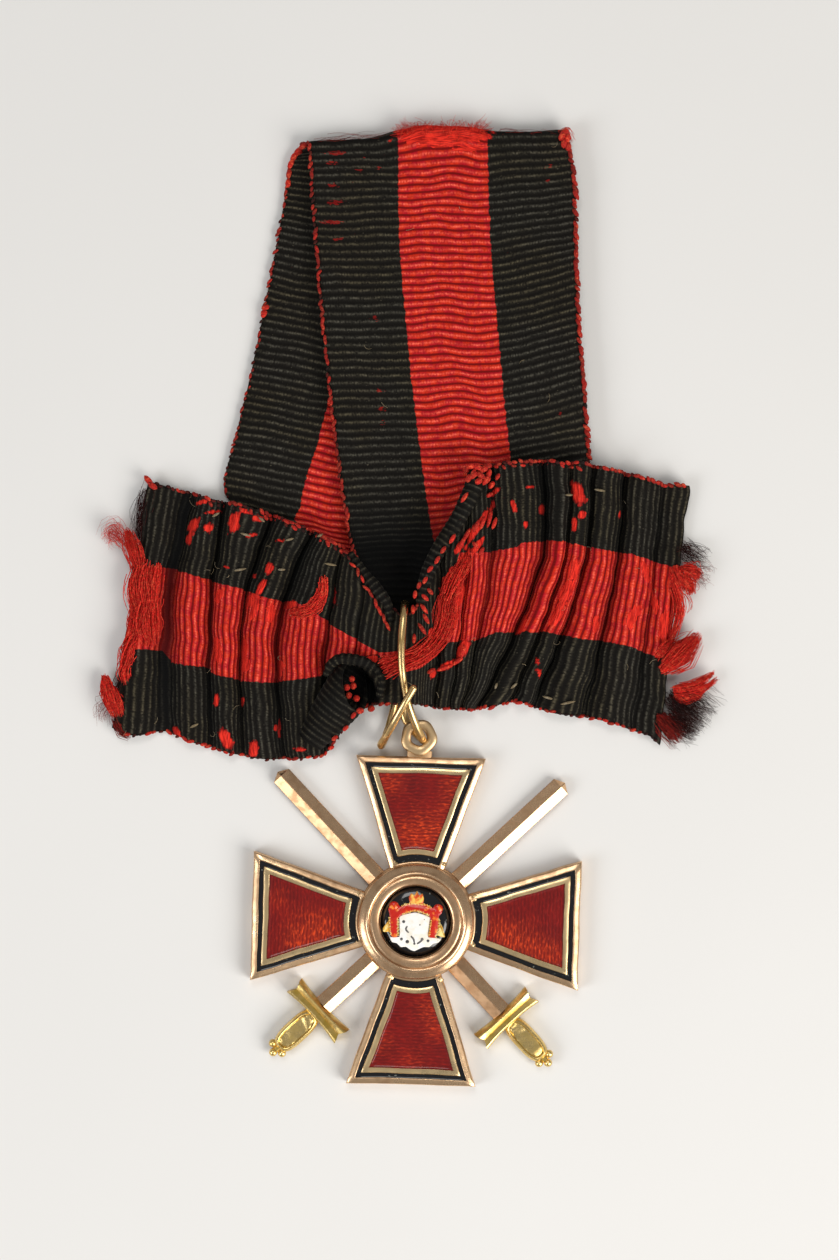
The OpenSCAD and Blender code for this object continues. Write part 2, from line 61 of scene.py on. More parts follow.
# %% A socket that can be added and multiplied
class Number:
    def __init__(self, finish, socket):
        self.finish = finish
        self.socket = socket

    def maths(self, operation, *values):
        made = self.finish.node("ShaderNodeMath", {"operation": operation}, dict(enumerate(values)))
        return Number(self.finish, made.outputs[0])

    def __add__(self, other):
        return self.maths("ADD", self, other)

    def __sub__(self, other):
        return self.maths("SUBTRACT", self, other)

    def __rsub__(self, other):
        return self.maths("SUBTRACT", other, self)

    def __mul__(self, other):
        return self.maths("MULTIPLY", self, other)

    def __pow__(self, other):
        return self.maths("POWER", self, other)

    __radd__ = __add__
    __rmul__ = __mul__

    def sine(self):
        return self.maths("SINE", self)

    def larger(self, other):
        return self.maths("MAXIMUM", self, other)

    def smaller(self, other):
        return self.maths("MINIMUM", self, other)

    def step(self, low, high):
        """0 below low, 1 above high and a soft change between them."""
        settings = {"interpolation_type": "SMOOTHSTEP"}
        sockets = {"Value": self, "From Min": low, "From Max": high}
        return Number(self.finish, self.finish.node("ShaderNodeMapRange", settings, sockets).outputs[0])

# %% [markdown]
# ## One material, made node by node
# The base shader's fixed values are set straight on its sockets. What changes over the surface
# comes through a handful of helpers: values kept on the mesh, noise, mixed colours and bump.

# %% A finish and its nodes
class Finish:
    def __init__(self, name, fixed):
        self.material = bpy.data.materials.new(name)
        self.material.use_nodes = True
        self.tree = self.material.node_tree
        self.shader = self.tree.nodes["Principled BSDF"]
        self.surface(fixed)

    def plug(self, socket, value):
        if isinstance(value, Number):
            value = value.socket
        if isinstance(value, bpy.types.NodeSocket):
            self.tree.links.new(value, socket)
        else:
            socket.default_value = value

    def surface(self, sockets):
        for socket, value in sockets.items():
            self.plug(self.shader.inputs[socket], value)

    def node(self, kind, settings=None, sockets=None):
        made = self.tree.nodes.new(kind)
        for setting, value in (settings or {}).items():
            setattr(made, setting, value)
        for socket, value in (sockets or {}).items():
            self.plug(made.inputs[socket], value)
        return made

    def kept(self, *names):
        """Values that were kept on the mesh under these names."""
        made = [self.node("ShaderNodeAttribute", {"attribute_name": name}) for name in names]
        return [Number(self, one.outputs["Fac"]) for one in made]

    def noise(self, per_mm, detail=2.0, stretch=(1, 1, 1), turn=0.0):
        where = self.node("ShaderNodeTexCoord").outputs["Object"]
        sockets = {"Vector": where, "Scale": stretch, "Rotation": (0, 0, turn)}
        placed = self.node("ShaderNodeMapping", None, sockets).outputs[0]
        sockets = {"Vector": placed, "Scale": per_mm / MM, "Detail": detail}
        return Number(self, self.node("ShaderNodeTexNoise", None, sockets).outputs[0])

    def grain(self, x, y, z=0.0, detail=2.0):
        """Noise over numbers, such as values that were kept on the mesh. z picks another pattern."""
        joined = self.node("ShaderNodeCombineXYZ", None, {0: x, 1: y, 2: z}).outputs[0]
        sockets = {"Vector": joined, "Scale": 1.0, "Detail": detail}
        return Number(self, self.node("ShaderNodeTexNoise", None, sockets).outputs[0])

    def mixed(self, share, first, second):
        sockets = {0: share, 6: first, 7: second}
        return self.node("ShaderNodeMix", {"data_type": "RGBA"}, sockets).outputs[2]

    def bump(self, height, distance):
        """height is a number from 0 to 1, and distance its full height in millimetres."""
        sockets = {"Height": height, "Distance": distance * MM, "Strength": 1.0}
        self.surface({"Normal": self.node("ShaderNodeBump", None, sockets).outputs[0]})


def colour(red, green, blue):
    return (red, green, blue, 1.0)

# %% [markdown]
# ## Meshes from stacked rings
# Ribbon, wire, rims and enamel can all be skinned from a stack of rings, so one helper does that
# and closes the ends. Values such as the stripe's place or the height of a rib are worked out for
# each point and kept on the mesh by name, where a material reads them.

# %% Skin a stack of rings
def skin(rings, wrap=False):
    """Points and faces of a closed surface through rings of equally many points."""
    rings = np.asarray(rings, float)
    count, sides = rings.shape[:2]
    last = count if wrap else count - 1
    i, j = np.meshgrid(np.arange(last), np.arange(sides), indexing="ij")
    below, above = i * sides, (i + 1) % count * sides
    faces = np.stack([below + j, below + (j + 1) % sides, above + (j + 1) % sides, above + j], -1)
    faces = faces.reshape(-1, 4).tolist()
    for start in () if wrap else (0, (count - 1) * sides):
        for k in range(sides // 2 - 1):
            faces.append([start + k, start + k + 1, start + sides - 2 - k, start + sides - 1 - k])
    return rings.reshape(-1, 3), faces

# %% Make a piece that rides on the badge
def piece(name, points, faces, finish, slot, replaces=(), keep=None, sharp=None):
    """A mesh object from points in millimetres. keep holds named values, one for each point."""
    mesh = bpy.data.meshes.new(name)
    mesh.from_pydata((np.asarray(points) * MM).tolist(), [], faces)
    for value_name, values in (keep or {}).items():
        stored = mesh.attributes.new(value_name, "FLOAT", "POINT")
        stored.data.foreach_set("value", np.asarray(values, np.float32).ravel())
    shell = bmesh.new()
    shell.from_mesh(mesh)
    bmesh.ops.recalc_face_normals(shell, faces=shell.faces)
    shell.to_mesh(mesh)
    shell.free()
    mesh.shade_smooth()
    if sharp is not None:
        mesh.set_sharp_from_angle(angle=np.radians(sharp))
    mesh.materials.append(finish.material)
    made = bpy.data.objects.new(name, mesh)
    bpy.context.scene.collection.objects.link(made)
    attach(made, "root")
    if replaces:
        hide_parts(*replaces)
    print(name, "has", sum(len(face) - 2 for face in faces), "triangles")
    return made

# %% Join several meshes into one
class Heap:
    """Collects meshes and the values kept on their points, to be made into one piece."""
    def __init__(self):
        self.points = []
        self.faces = []
        self.kept = {}
        self.count = 0

    def add(self, mesh, **values):
        points, faces = mesh
        self.faces += [[k + self.count for k in face] for face in faces]
        self.points.append(np.asarray(points))
        self.count += len(points)
        for name, value in values.items():
            spread = np.broadcast_to(np.asarray(value, float).ravel(), (len(points),))
            self.kept.setdefault(name, []).append(spread)

    def make(self, name, finish, slot, **options):
        keep = {value: np.concatenate(parts) for value, parts in self.kept.items()}
        return piece(name, np.concatenate(self.points), self.faces, finish, slot, keep=keep, **options)

# %% Smooth curves and seeded unevenness
def curve_through(rows, where):
    """The rows of a table, smoothed, at fractional row numbers."""
    rows = np.asarray(rows, float)
    last = len(rows) - 1
    where = np.asarray(where, float)
    i = np.clip(np.floor(where).astype(int), 0, last - 1)
    t = (where - i)[:, None]
    a, b, c, d = (rows[np.clip(i + k, 0, last)] for k in (-1, 0, 1, 2))
    bend, twist = 2 * a - 5 * b + 4 * c - d, 3 * b - a - 3 * c + d
    return 0.5 * (2 * b + (c - a) * t + bend * t**2 + twist * t**3)


def ripples(seed, size, *axes):
    """A smooth seeded unevenness of about -1 to 1, with bumps of about this size."""
    draw = np.random.default_rng(seed)
    waves, pace = 7, 2.4
    total = 0.0
    for _ in range(waves):
        phase = sum(draw.normal() * np.asarray(axis) for axis in axes) * pace / size
        total = total + np.sin(phase + draw.uniform(0, TURN))
    return total / np.sqrt(waves)


def lengths_along(points):
    """The distance from the first point to each point of a line."""
    return np.concatenate([[0], np.cumsum(np.linalg.norm(np.diff(points, axis=0), axis=1))])


def turned(points, degrees):
    """Points turned about the upright axis through the origin."""
    a = np.radians(degrees)
    points = np.array(points, float)
    x, y = points[..., 0].copy(), points[..., 1].copy()
    points[..., 0] = x * np.cos(a) - y * np.sin(a)
    points[..., 1] = x * np.sin(a) + y * np.cos(a)
    return points

# %% Tubes, turned shapes and balls
def tube(line, radius, sides, squash=1.0):
    """Rings of a round tube. radius is one value or one for each point of the line."""
    line = np.asarray(line, float)
    radius = np.broadcast_to(np.asarray(radius, float), (len(line),))
    run = np.gradient(line, axis=0)
    run /= np.linalg.norm(run, axis=1, keepdims=True)
    side = np.array([1.0, 0.0, 0.0]) if abs(run[0][0]) < 0.8 else np.array([0.0, 1.0, 0.0])
    turn = TURN * np.arange(sides) / sides
    rings = []
    for middle, ahead, r in zip(line, run, radius):
        side = side - ahead * (side @ ahead)
        side /= np.linalg.norm(side)
        up = np.cross(ahead, side) * squash
        rings.append(middle + r * (np.cos(turn)[:, None] * side + np.sin(turn)[:, None] * up))
    return np.array(rings)


def round_ended(line, radius, steps=5):
    """The line and radii of a tube of even radius with a half ball at each end."""
    line = np.asarray(line, float)
    a = np.linspace(0.05, 1, steps + 1)[:-1] * np.pi / 2
    first, last = line[0] - line[1], line[-1] - line[-2]
    first, last = first / np.linalg.norm(first), last / np.linalg.norm(last)
    before = line[0] + first * (radius * np.cos(a))[:, None]
    after = line[-1] + last * (radius * np.cos(a[::-1]))[:, None]
    radii = np.concatenate([radius * np.sin(a), np.full(len(line), radius), radius * np.sin(a[::-1])])
    return np.concatenate([before, line, after]), radii


def lathe(profile, sides=128):
    """Rings of a shape turned about the upright axis. profile has rows of radius and height."""
    turn = TURN * np.arange(sides) / sides
    return np.array([np.stack([r * np.cos(turn), r * np.sin(turn), z + 0 * turn], -1) for r, z in profile])


def ball(middle, radius, sides=16, flat=1.0):
    nearly_pole = 0.98
    a = np.linspace(-1, 1, sides // 2 + 1) * np.pi / 2 * nearly_pole
    return skin(lathe(np.stack([radius * np.cos(a), radius * flat * np.sin(a)], -1), sides) + middle)

# %% [markdown]
# ## Gold that has been worn and handled
# All the gold shares one finish. It is half polished, with a soft unevenness from hammering and
# filing, fine scratches in two directions, and a brown film where fingers don't reach. The film
# darkens the colour and dulls the shine together, so one mask drives both. The yellow gold of the
# hilts is scratched more than the rose gold.

# %% Gold finishes
def gold(name, bright, film, dullness, scratches=0.5):
    made = Finish(name, {"Metallic": 1.0, "Specular Tint": colour(1.0, 0.93, 0.82)})
    patina, = made.kept("patina")
    cloudy = made.noise(0.9, 4.0).step(0.42, 0.7)
    filmed = (cloudy * 0.45 + patina).smaller(1.0)
    made.surface({"Base Color": made.mixed(filmed, bright, film)})
    fine = made.noise(1.6, 2.0, (1.0, 14.0, 1.0), 0.6)
    crossing = made.noise(1.6, 2.0, (14.0, 1.0, 1.0), 0.25)
    marks = fine.step(0.5, 0.8) + crossing.step(0.52, 0.8)
    made.surface({"Roughness": dullness + filmed * 0.16 + marks * (0.12 * scratches)})
    dents = made.noise(0.55, 2.0) + marks * (0.05 * scratches)
    made.bump(dents, 0.03)
    return made


rose_gold = gold("worn rose gold", colour(0.86, 0.57, 0.34), colour(0.40, 0.225, 0.115), 0.23)
yellow_gold = gold("worn yellow gold", colour(0.90, 0.66, 0.27), colour(0.50, 0.34, 0.07), 0.24, 0.8)
wire_gold = gold("ring wire", colour(0.84, 0.59, 0.28), colour(0.36, 0.22, 0.07), 0.22)
print("gold finishes:", rose_gold.material.name, "and", yellow_gold.material.name)

# %% [markdown]
# ## Enamel
# The red is translucent glass over a floor cut with fine wavy lines, so light comes back in bright
# streaks that run across each arm. Real glass with light inside it is slow to render, and the
# streaks lie so close under the surface that they can be painted in the colour, under a clear
# coat. The black is opaque glass with small chips and scratches that show as grey glints.

# %% Red enamel over a cut floor
def red_enamel():
    made = Finish("red enamel", {
        "Roughness": 0.4, "Coat Weight": 1.0, "Coat Roughness": 0.04, "Coat IOR": 1.36,
        "Specular IOR Level": 0.15
    })
    x, y, lift = made.kept("arm_x", "arm_y", "glow")
    sway = made.grain(x * 0.5, y * 0.5) * 5.0
    lines = (y * 17.0 + sway + made.grain(x * 1.3, y * 1.3) * 3.0).sine() * 0.5 + 0.5
    streaks = made.grain(x * 1.6, y * 5.0, 3.0, 3.0).step(0.48, 0.7)
    cloud = made.grain(x * 0.4, y * 0.4, 7.0).step(0.3, 0.75)
    lit = lift * (0.08 + lines * 0.17 + streaks * 0.75)
    share = cloud * 0.3 + lines * 0.25 + streaks * 0.45
    body = made.mixed(share.smaller(1.0), colour(0.10, 0.001, 0.001), colour(0.27, 0.005, 0.002))
    made.surface({"Base Color": made.mixed(lit.smaller(1.0), body, colour(0.80, 0.07, 0.008))})
    made.bump(lines * 0.4 + streaks, 0.01)
    return made

# %% Black enamel
def glass(name, body, glint):
    made = Finish(name, {"Coat Roughness": 0.06, "Coat IOR": 1.4, "Specular IOR Level": 0.3})
    chips = made.noise(3.2, 3.0).step(0.67, 0.72)
    made.surface({"Base Color": made.mixed(chips, body, glint)})
    made.surface({"Roughness": chips * 0.3 + 0.12, "Coat Weight": 1.0 - chips * 0.6})
    made.bump(made.noise(0.8, 2.0) - chips * 0.3, 0.03)
    return made


red_glass = red_enamel()
black_glass = glass("black enamel", colour(0.004, 0.004, 0.005), colour(0.15, 0.16, 0.14))
print("enamels:", red_glass.material.name, "and", black_glass.material.name)

# %% [markdown]
# ## The cross
# Each arm is a shallow gold pan: an outer rim, a cell for the black line, a thin inner rim and a
# cell for the red. All of them follow one outline, drawn further in each time. So an arm is
# skinned from nested rings of that outline, from its back over both rims to its floor. The rims
# were filed by hand, so their tops are rounded and waver a little.

# %% Outline of an arm
arm_outer_w = 13.7
arm_inner_w = 5.8
arm_inner_r = 5.55
arm_r = 17.35
arm_slope = (arm_outer_w - arm_inner_w) / 2 / (arm_r - arm_inner_r)
cross_turn = -1.8
ARMS = {"top": 0, "right": -90, "bottom": 180, "left": 90}
print("an arm slopes outwards by", round(float(np.degrees(np.arctan(arm_slope))), 1), "degrees")


def arm_loop(inset, end_r, height, per_side=18):
    """A ring round the arm that points along +Y: up its left side, across, down and round the hub."""
    slant = 1 + arm_slope**2
    foot = arm_inner_w / 2 - arm_inner_r * arm_slope - inset * np.sqrt(slant)
    root = np.sqrt(foot * foot * arm_slope**2 - slant * (foot * foot - end_r**2))
    low = (root - foot * arm_slope) / slant
    high = arm_r - inset
    t = np.arange(per_side) / per_side
    side_y = low + (high - low) * t
    side_x = foot + arm_slope * side_y
    corner = foot + arm_slope * high
    across = -corner + 2 * corner * t
    down = high + (low - high) * t
    half_angle = np.arctan2(foot + arm_slope * low, low)
    swing = half_angle * (1 - 2 * t)
    x = np.concatenate([-side_x, across, foot + arm_slope * down, end_r * np.sin(swing)])
    y = np.concatenate([side_y, 0 * t + high, down, end_r * np.cos(swing)])
    return np.stack([x, y, 0 * x + height], -1)

# %% The hand of the maker
def hand_filed(rings, seed, amount=0.035):
    """The same rings with a slight waver, alike for everything in one place."""
    rings = np.array(rings)
    x, y = rings[..., 0], rings[..., 1]
    rings[..., 0] += amount * ripples(seed, 2.6, x, y)
    rings[..., 1] += amount * ripples(seed + 50, 2.6, x, y)
    return rings

# %% Rims and floors of the four arms
rim_w, black_w, line_w = 0.68, 0.46, 0.6
floor_h, floor_inset = 1.0, 0.5
# How far from the cross's middle each part of an arm ends.
hub_end, black_end, line_end = 5.0, 6.37, 7.05
# Columns of both tables: how far in from the outer edge of that rim, and height.
RIM = [
    (0.12, 0.0), (0.0, 0.1), (0.0, 1.5), (0.02, 1.62), (0.08, 1.71), (0.2, 1.77), (0.4, 1.84),
    (0.56, 1.895), (0.62, 1.9), (0.66, 1.87), (0.68, 1.8), (0.68, 1.0)
]
LINE = [
    (0.0, 1.0), (0.0, 1.74), (0.02, 1.79), (0.07, 1.82), (0.3, 1.84), (0.5, 1.86), (0.56, 1.85),
    (0.6, 1.78), (0.6, 1.0)
]


def arm_pan():
    back_inset, back_end = 1.4, 7.0
    rings = [arm_loop(back_inset, back_end, 0.0)]
    rings += [arm_loop(i, hub_end + (black_end - hub_end) * i / rim_w, z) for i, z in RIM]
    rings += [arm_loop(rim_w + black_w + i, line_end + i, z) for i, z in LINE]
    floor_start = line_w + floor_inset
    rings += [arm_loop(rim_w + black_w + floor_start, line_end + floor_start, floor_h)]
    pale = np.concatenate([np.zeros(len(RIM) + 1), np.full(len(LINE) + 1, 1.0)])
    return np.array(rings), np.repeat(pale[:, None], rings[0].shape[0], 1)


cross = Heap()
for seed, turn in enumerate(ARMS.values()):
    rings, pale = arm_pan()
    filed = hand_filed(rings, 10 + seed)
    worn_ends = 0.2 * ripples(90 + seed, 3.0, filed[..., 0], filed[..., 1]) + 0.14
    cross.add(skin(turned(filed, turn + cross_turn)), pale=pale, patina=worn_ends.clip(0, 1))
print("points on the four arms:", cross.count)

# %% [markdown]
# The arms meet in a round hub that the centre hides but for its edge. Drops of solder sit in the
# corners where the rims meet it. The eyelet is a small filed ring on a collar, set a little askew.

# %% Hub and drops of solder
hub_r = 6.25
hub = lathe([
    (0.1, 0.0), (hub_r - 0.1, 0.0), (hub_r, 0.1), (hub_r, 1.7), (hub_r - 0.12, 1.86), (0.1, 1.88)
])
cross.add(skin(turned(hub, cross_turn)), pale=0.0, patina=0.5)
# Two drops for each arm, in that arm's own place.
SOLDER = [
    (-2.35, 6.1), (2.7, 6.2), (2.35, 6.0), (-2.6, 6.05), (2.5, 6.0), (-2.75, 6.1), (-2.5, 6.0),
    (2.6, 6.05)
]
solder_h, solder_r = 1.5, 0.42
for k, (x, y) in enumerate(SOLDER):
    lump = ball(turned([x, y, solder_h], list(ARMS.values())[k // 2] + cross_turn), solder_r, 20)
    points = lump[0] + 0.07 * ripples(20 + k, 0.5, *lump[0].T)[:, None]
    cross.add((points, lump[1]), pale=1.0, patina=0.8)
print("drops of solder:", len(SOLDER))

# %% Eyelet and its collar
eyelet_x, eyelet_y, eyelet_sides = -0.28, 19.42, 64
turn = TURN * np.arange(eyelet_sides) / eyelet_sides
filed_flats = 1 - 0.07 * np.abs(np.sin(2.5 * turn + 0.35)) ** 2
# Columns: radius and height, from the back round the outside to the hole.
EYE = [
    (1.25, 0.92), (1.75, 0.95), (1.95, 1.1), (1.97, 1.6), (1.92, 1.76), (1.8, 1.86), (1.4, 1.9),
    (0.98, 1.87), (0.89, 1.76), (0.87, 1.5), (0.87, 1.1), (0.95, 0.96)
]
eye = lathe(EYE, eyelet_sides)
eye[..., :2] *= filed_flats[None, :, None]
eye += [eyelet_x, eyelet_y, 0]
cross.add(skin(turned(eye, cross_turn), wrap=True), pale=0.6, patina=0.72)
COLLAR = [
    (-1.4, 0.9), (1.1, 0.9), (1.15, 1.0), (1.15, 1.5), (0.95, 1.66), (-1.25, 1.66), (-1.45, 1.5),
    (-1.45, 1.0)
]
collar = [[(x, y, z) for x, z in COLLAR] for y in (16.7, 17.4, 18.0)]
# The collar takes the darkest film, which also serves as painted shade under the eyelet.
cross.add(skin(turned(collar, cross_turn)), pale=0.2, patina=1.0)

# %% Finish of the cross
def frame_gold():
    made = gold("rims of the cross", colour(0.86, 0.585, 0.345), colour(0.41, 0.24, 0.13), 0.25)
    pale, = made.kept("pale")
    rose = made.shader.inputs["Base Color"].links[0].from_socket
    made.surface({"Base Color": made.mixed(pale * 0.75, rose, colour(0.84, 0.64, 0.34))})
    return made


cross.make("cross_frame_gold", frame_gold(), "rose_gold", replaces=("cross_frame",), sharp=50)

# %% [markdown]
# ## Panels of enamel
# Enamel is laid in as powder and fired, so it creeps up its walls a little and sinks between them,
# and it is then stoned nearly level with the rims.

# %% Red panels
# Columns of both tables: how far in from the outer edge of the panel, and height.
RED_STEPS = [
    (0.02, 1.05), (0.02, 1.76), (0.06, 1.77), (0.14, 1.73), (0.3, 1.7), (0.6, 1.72), (1.0, 1.75),
    (1.4, 1.77), (1.9, 1.79), (2.3, 1.8)
]
BLACK_STEPS = [
    (0.02, 1.05), (0.02, 1.78), (0.06, 1.77), (0.22, 1.72), (0.4, 1.76), (0.44, 1.77), (0.44, 1.05)
]
# Where light comes back strongly from the cut floor: x, y, radius and strength on each arm.
GLOW = {
    "top": [(-3.1, 14.6, 1.3, 0.6), (3.6, 14.4, 1.3, 0.6), (-1.3, 9.6, 1.4, 0.6), (1.6, 9.9, 1.6, 0.8),
            (0.1, 8.4, 1.6, 0.6), (2.8, 12.2, 0.9, 0.5)],
    "right": [(1.7, 10.1, 1.6, 0.9), (3.2, 14.4, 1.4, 0.7), (0.4, 8.6, 1.2, 0.5), (2.4, 12.4, 1.5, 0.6)],
    "bottom": [(-1.8, 9.2, 1.3, 0.6), (3.2, 13.0, 1.2, 0.4), (0.0, 15.0, 1.5, 0.3), (-2.4, 11.4, 1.2, 0.5)],
    "left": [(-1.0, 9.7, 1.5, 1.0), (-2.5, 12.4, 1.6, 0.7), (1.2, 6.9, 1.0, 0.4), (-0.6, 12.0, 1.5, 0.5),
             (1.8, 14.6, 1.1, 0.4)]
}
red_inset, red_end = rim_w + black_w + line_w, line_end + line_w
# The pattern of each arm is read from another place.
far_apart = 20
for seed, (arm, turn) in enumerate(ARMS.items()):
    rings = np.array([arm_loop(red_inset + i, red_end + i, z) for i, z in RED_STEPS])
    x, y = rings[..., 0], rings[..., 1]
    glow = sum(much * np.exp(-((x - at_x) ** 2 + (y - at_y) ** 2) / r**2)
               for at_x, at_y, r, much in GLOW[arm])
    keep = {"arm_x": x + far_apart * seed, "arm_y": y, "glow": glow}
    points, faces = skin(turned(hand_filed(rings, 10 + seed), turn + cross_turn))
    piece(f"red_glass_{arm}", points, faces, red_glass, "red_enamel", (f"red_enamel_{arm}",), keep, 50)

# %% Black lines
for seed, (arm, turn) in enumerate(ARMS.items()):
    rings = [arm_loop(rim_w + i, black_end + i * (line_end - black_end) / black_w, z)
             for i, z in BLACK_STEPS]
    points, faces = skin(turned(hand_filed(rings, 10 + seed), turn + cross_turn), wrap=True)
    replaces = (f"black_enamel_{arm}",)
    piece(f"black_glass_{arm}", points, faces, black_glass, "black_enamel", replaces, sharp=50)

# %% [markdown]
# ## The centre
# A turned gold ring holds a small disc of black enamel. The ring has a filed sloping wall, a bright
# rounded ridge and a brushed flat inside it. It is turned from one profile, and ripples keep it
# from being perfect.

# %% Bezel
# Columns: radius, height, and how dark the film is there.
BEZEL = [
    (3.78, 1.96, 0.2), (5.9, 1.96, 0.6), (6.04, 2.0, 0.6), (6.1, 2.1, 0.8), (6.1, 2.62, 0.5),
    (6.05, 2.76, 0.2), (5.92, 2.88, 0.1), (5.7, 3.02, 0.1), (5.48, 3.15, 0.15), (5.34, 3.25, 0.2),
    (5.24, 3.36, 0.0), (5.12, 3.42, 0.0), (5.0, 3.4, 0.0), (4.92, 3.3, 0.5), (4.86, 3.14, 0.95),
    (4.78, 3.1, 0.6), (4.68, 3.17, 0.1), (4.4, 3.17, 0.3), (4.1, 3.12, 0.4), (3.94, 3.08, 0.3),
    (3.86, 3.0, 0.0), (3.8, 2.88, 0.4), (3.78, 2.8, 0.8)
]
bezel_sides, bezel_waver, wavers_from = 160, 0.03, 2.9
bezel = hand_filed(lathe([row[:2] for row in BEZEL], bezel_sides), 31, bezel_waver)
on_top = bezel[..., 2] > wavers_from
bezel[..., 2] += bezel_waver * ripples(33, 4.0, bezel[..., 0], bezel[..., 1]) * on_top
points, faces = skin(bezel, wrap=True)
patina = np.repeat(np.array([row[2] for row in BEZEL])[:, None], bezel_sides, 1)
piece("bezel_gold", points, faces, rose_gold, "rose_gold", ("centre_bezel",), {"patina": patina})

# %% Disc
DISC = [
    (0.05, 1.96), (3.7, 1.96), (3.72, 2.0), (3.72, 2.2), (3.62, 2.3), (3.42, 2.42), (3.2, 2.53),
    (2.95, 2.62), (2.6, 2.68), (2.2, 2.7), (0.05, 2.7)
]
points, faces = skin(lathe(DISC, 128))
piece("disc_glass", points, faces, black_glass, "black_enamel", ("centre_disc",))

# %% [markdown]
# ## The emblem
# A plain crowned mantle, painted in relief: a white fur lining, a red cloth with yellow edges, a
# crown and a fringe at each side. Each part is an outline that rises in three steps and is closed
# by one face, which is enough for paint that stands a tenth to a fifth of a millimetre proud.

# %% Raise an outline
# Columns: how far in from the outline and how high, as shares of the rounding and of the height.
RELIEF_STEPS = [(0.0, 0.0), (0.0, 0.45), (0.3, 0.8), (1.0, 1.0)]
softness = 0.35


def relief(outline, low, height, round_by=0.09, steps=4):
    """A rounded relief over an outline that turns left. Concave outlines are closed by triangles."""
    corners = np.asarray(outline, float)
    where = np.arange(0, len(corners) * steps) / steps
    rows = np.concatenate([corners[-1:], corners, corners[:2]])
    closed = np.append(corners, corners[:1], axis=0)
    straight = np.stack([np.interp(where, np.arange(len(closed)), closed[:, k]) for k in (0, 1)], -1)
    line = softness * curve_through(rows, where + 1) + (1 - softness) * straight
    ahead = np.roll(line, -1, 0) - np.roll(line, 1, 0)
    ahead /= np.linalg.norm(ahead, axis=1, keepdims=True)
    inward = np.stack([-ahead[:, 1], ahead[:, 0]], -1)
    layers = []
    for inset, rise in RELIEF_STEPS:
        height_here = 0 * line[:, 0] + low + height * rise
        layers.append(np.column_stack([line + inward * inset * round_by, height_here]))
    points, faces = skin(np.array(layers))
    sides = len(line)
    top_from = (len(RELIEF_STEPS) - 1) * sides
    quads = faces[:top_from]
    top = list(range(top_from, top_from + sides))
    return turned(points, cross_turn), quads + [top, list(range(sides))[::-1]]


def painted(name, outline, height, finish, slot, node, extra=()):
    heap = Heap()
    heap.add(relief(outline, relief_z, height), patina=0.0)
    for part in extra:
        heap.add(part, patina=0.0)
    return heap.make(name, finish, slot, replaces=(node,), sharp=60)

# %% Paints of the emblem
def paint(name, first, second, per_mm, low, high):
    made = Finish(name, {
        "Roughness": 0.4, "Coat Weight": 1.0, "Coat Roughness": 0.08, "Coat IOR": 1.36,
        "Specular IOR Level": 0.2
    })
    share = made.noise(per_mm, 3.0).step(low, high)
    made.surface({"Base Color": made.mixed(share, first, second)})
    made.bump(made.noise(2.2, 2.0), 0.05)
    return made


mantle_paint = paint("mantle paint", colour(0.52, 0.012, 0.003), colour(0.85, 0.22, 0.02), 1.7, 0.52, 0.68)
crown_paint = paint("crown paint", colour(0.66, 0.07, 0.006), colour(0.92, 0.55, 0.10), 2.0, 0.4, 0.62)
fringe_paint = paint("fringe paint", colour(0.80, 0.42, 0.05), colour(0.93, 0.76, 0.30), 2.6, 0.4, 0.62)
fur_paint = paint("fur paint", colour(0.88, 0.82, 0.70), colour(0.92, 0.90, 0.86), 1.2, 0.4, 0.6)
spot_paint = paint("fur spots", colour(0.05, 0.05, 0.055), colour(0.16, 0.15, 0.14), 4.0, 0.4, 0.6)
print("paints:", mantle_paint.material.name, "and four more")

# %% Mantle, lining, crown and fringes
relief_z = 2.72
LINING = [
    (-1.75, 0.5), (-1.7, -0.69), (-1.69, -1.6), (-2.7, -1.68), (-2.44, -2.2), (-1.95, -2.3),
    (-1.5, -2.7), (-0.95, -2.65), (-0.5, -2.95), (-0.05, -3.08), (0.4, -2.85), (0.9, -2.62),
    (1.5, -2.6), (1.9, -2.25), (2.45, -2.1), (2.75, -1.7), (2.16, -1.6), (1.35, -1.55), (1.4, -0.46),
    (1.5, 0.5), (0.84, 0.8), (-0.08, 1.02), (-1.1, 0.8)
]
MANTLE = [
    (-2.72, 1.9), (-2.95, 1.26), (-2.8, 0.69), (-2.75, -0.69), (-2.6, -1.5), (-2.3, -1.7), (-1.9, -1.6),
    (-1.85, -0.69), (-1.88, 0.3), (-1.5, 0.72), (-0.9, 0.94), (-0.08, 1.17), (0.8, 0.94), (1.35, 0.72),
    (1.6, 0.11), (1.38, -1.5), (2.1, -1.6), (2.44, -0.46), (2.42, 0.69), (2.73, 1.03), (2.67, 1.72),
    (2.21, 1.95), (1.7, 1.55), (0.95, 1.93), (-0.88, 1.95), (-1.69, 1.6), (-2.14, 2.05)
]
CROWN = [
    (-0.66, 1.93), (0.68, 1.93), (0.78, 2.5), (0.6, 3.02), (0.25, 2.84), (0.03, 3.28), (-0.23, 2.84),
    (-0.58, 3.02), (-0.82, 2.6)
]
FRINGES = {"left": [(-2.85, 0.1), (-3.45, -0.75), (-3.4, -1.15), (-2.72, -1.1), (-2.78, -0.6)],
           "right": [(2.5, 0.1), (2.5, -0.6), (2.3, -1.3), (2.75, -1.5), (3.12, -1.5), (2.85, -0.5)]}
painted("lining_paint", LINING, 0.12, fur_paint, "white_enamel", "emblem_lining")
knot_r = 0.52
knots = [ball(turned([x, y, relief_z + 0.02], cross_turn), knot_r, 20, 0.5)
         for x, y in ((-2.35, 1.6), (2.3, 1.45))]
painted("mantle_paint", MANTLE, 0.2, mantle_paint, "red_enamel", "emblem_mantle", knots)
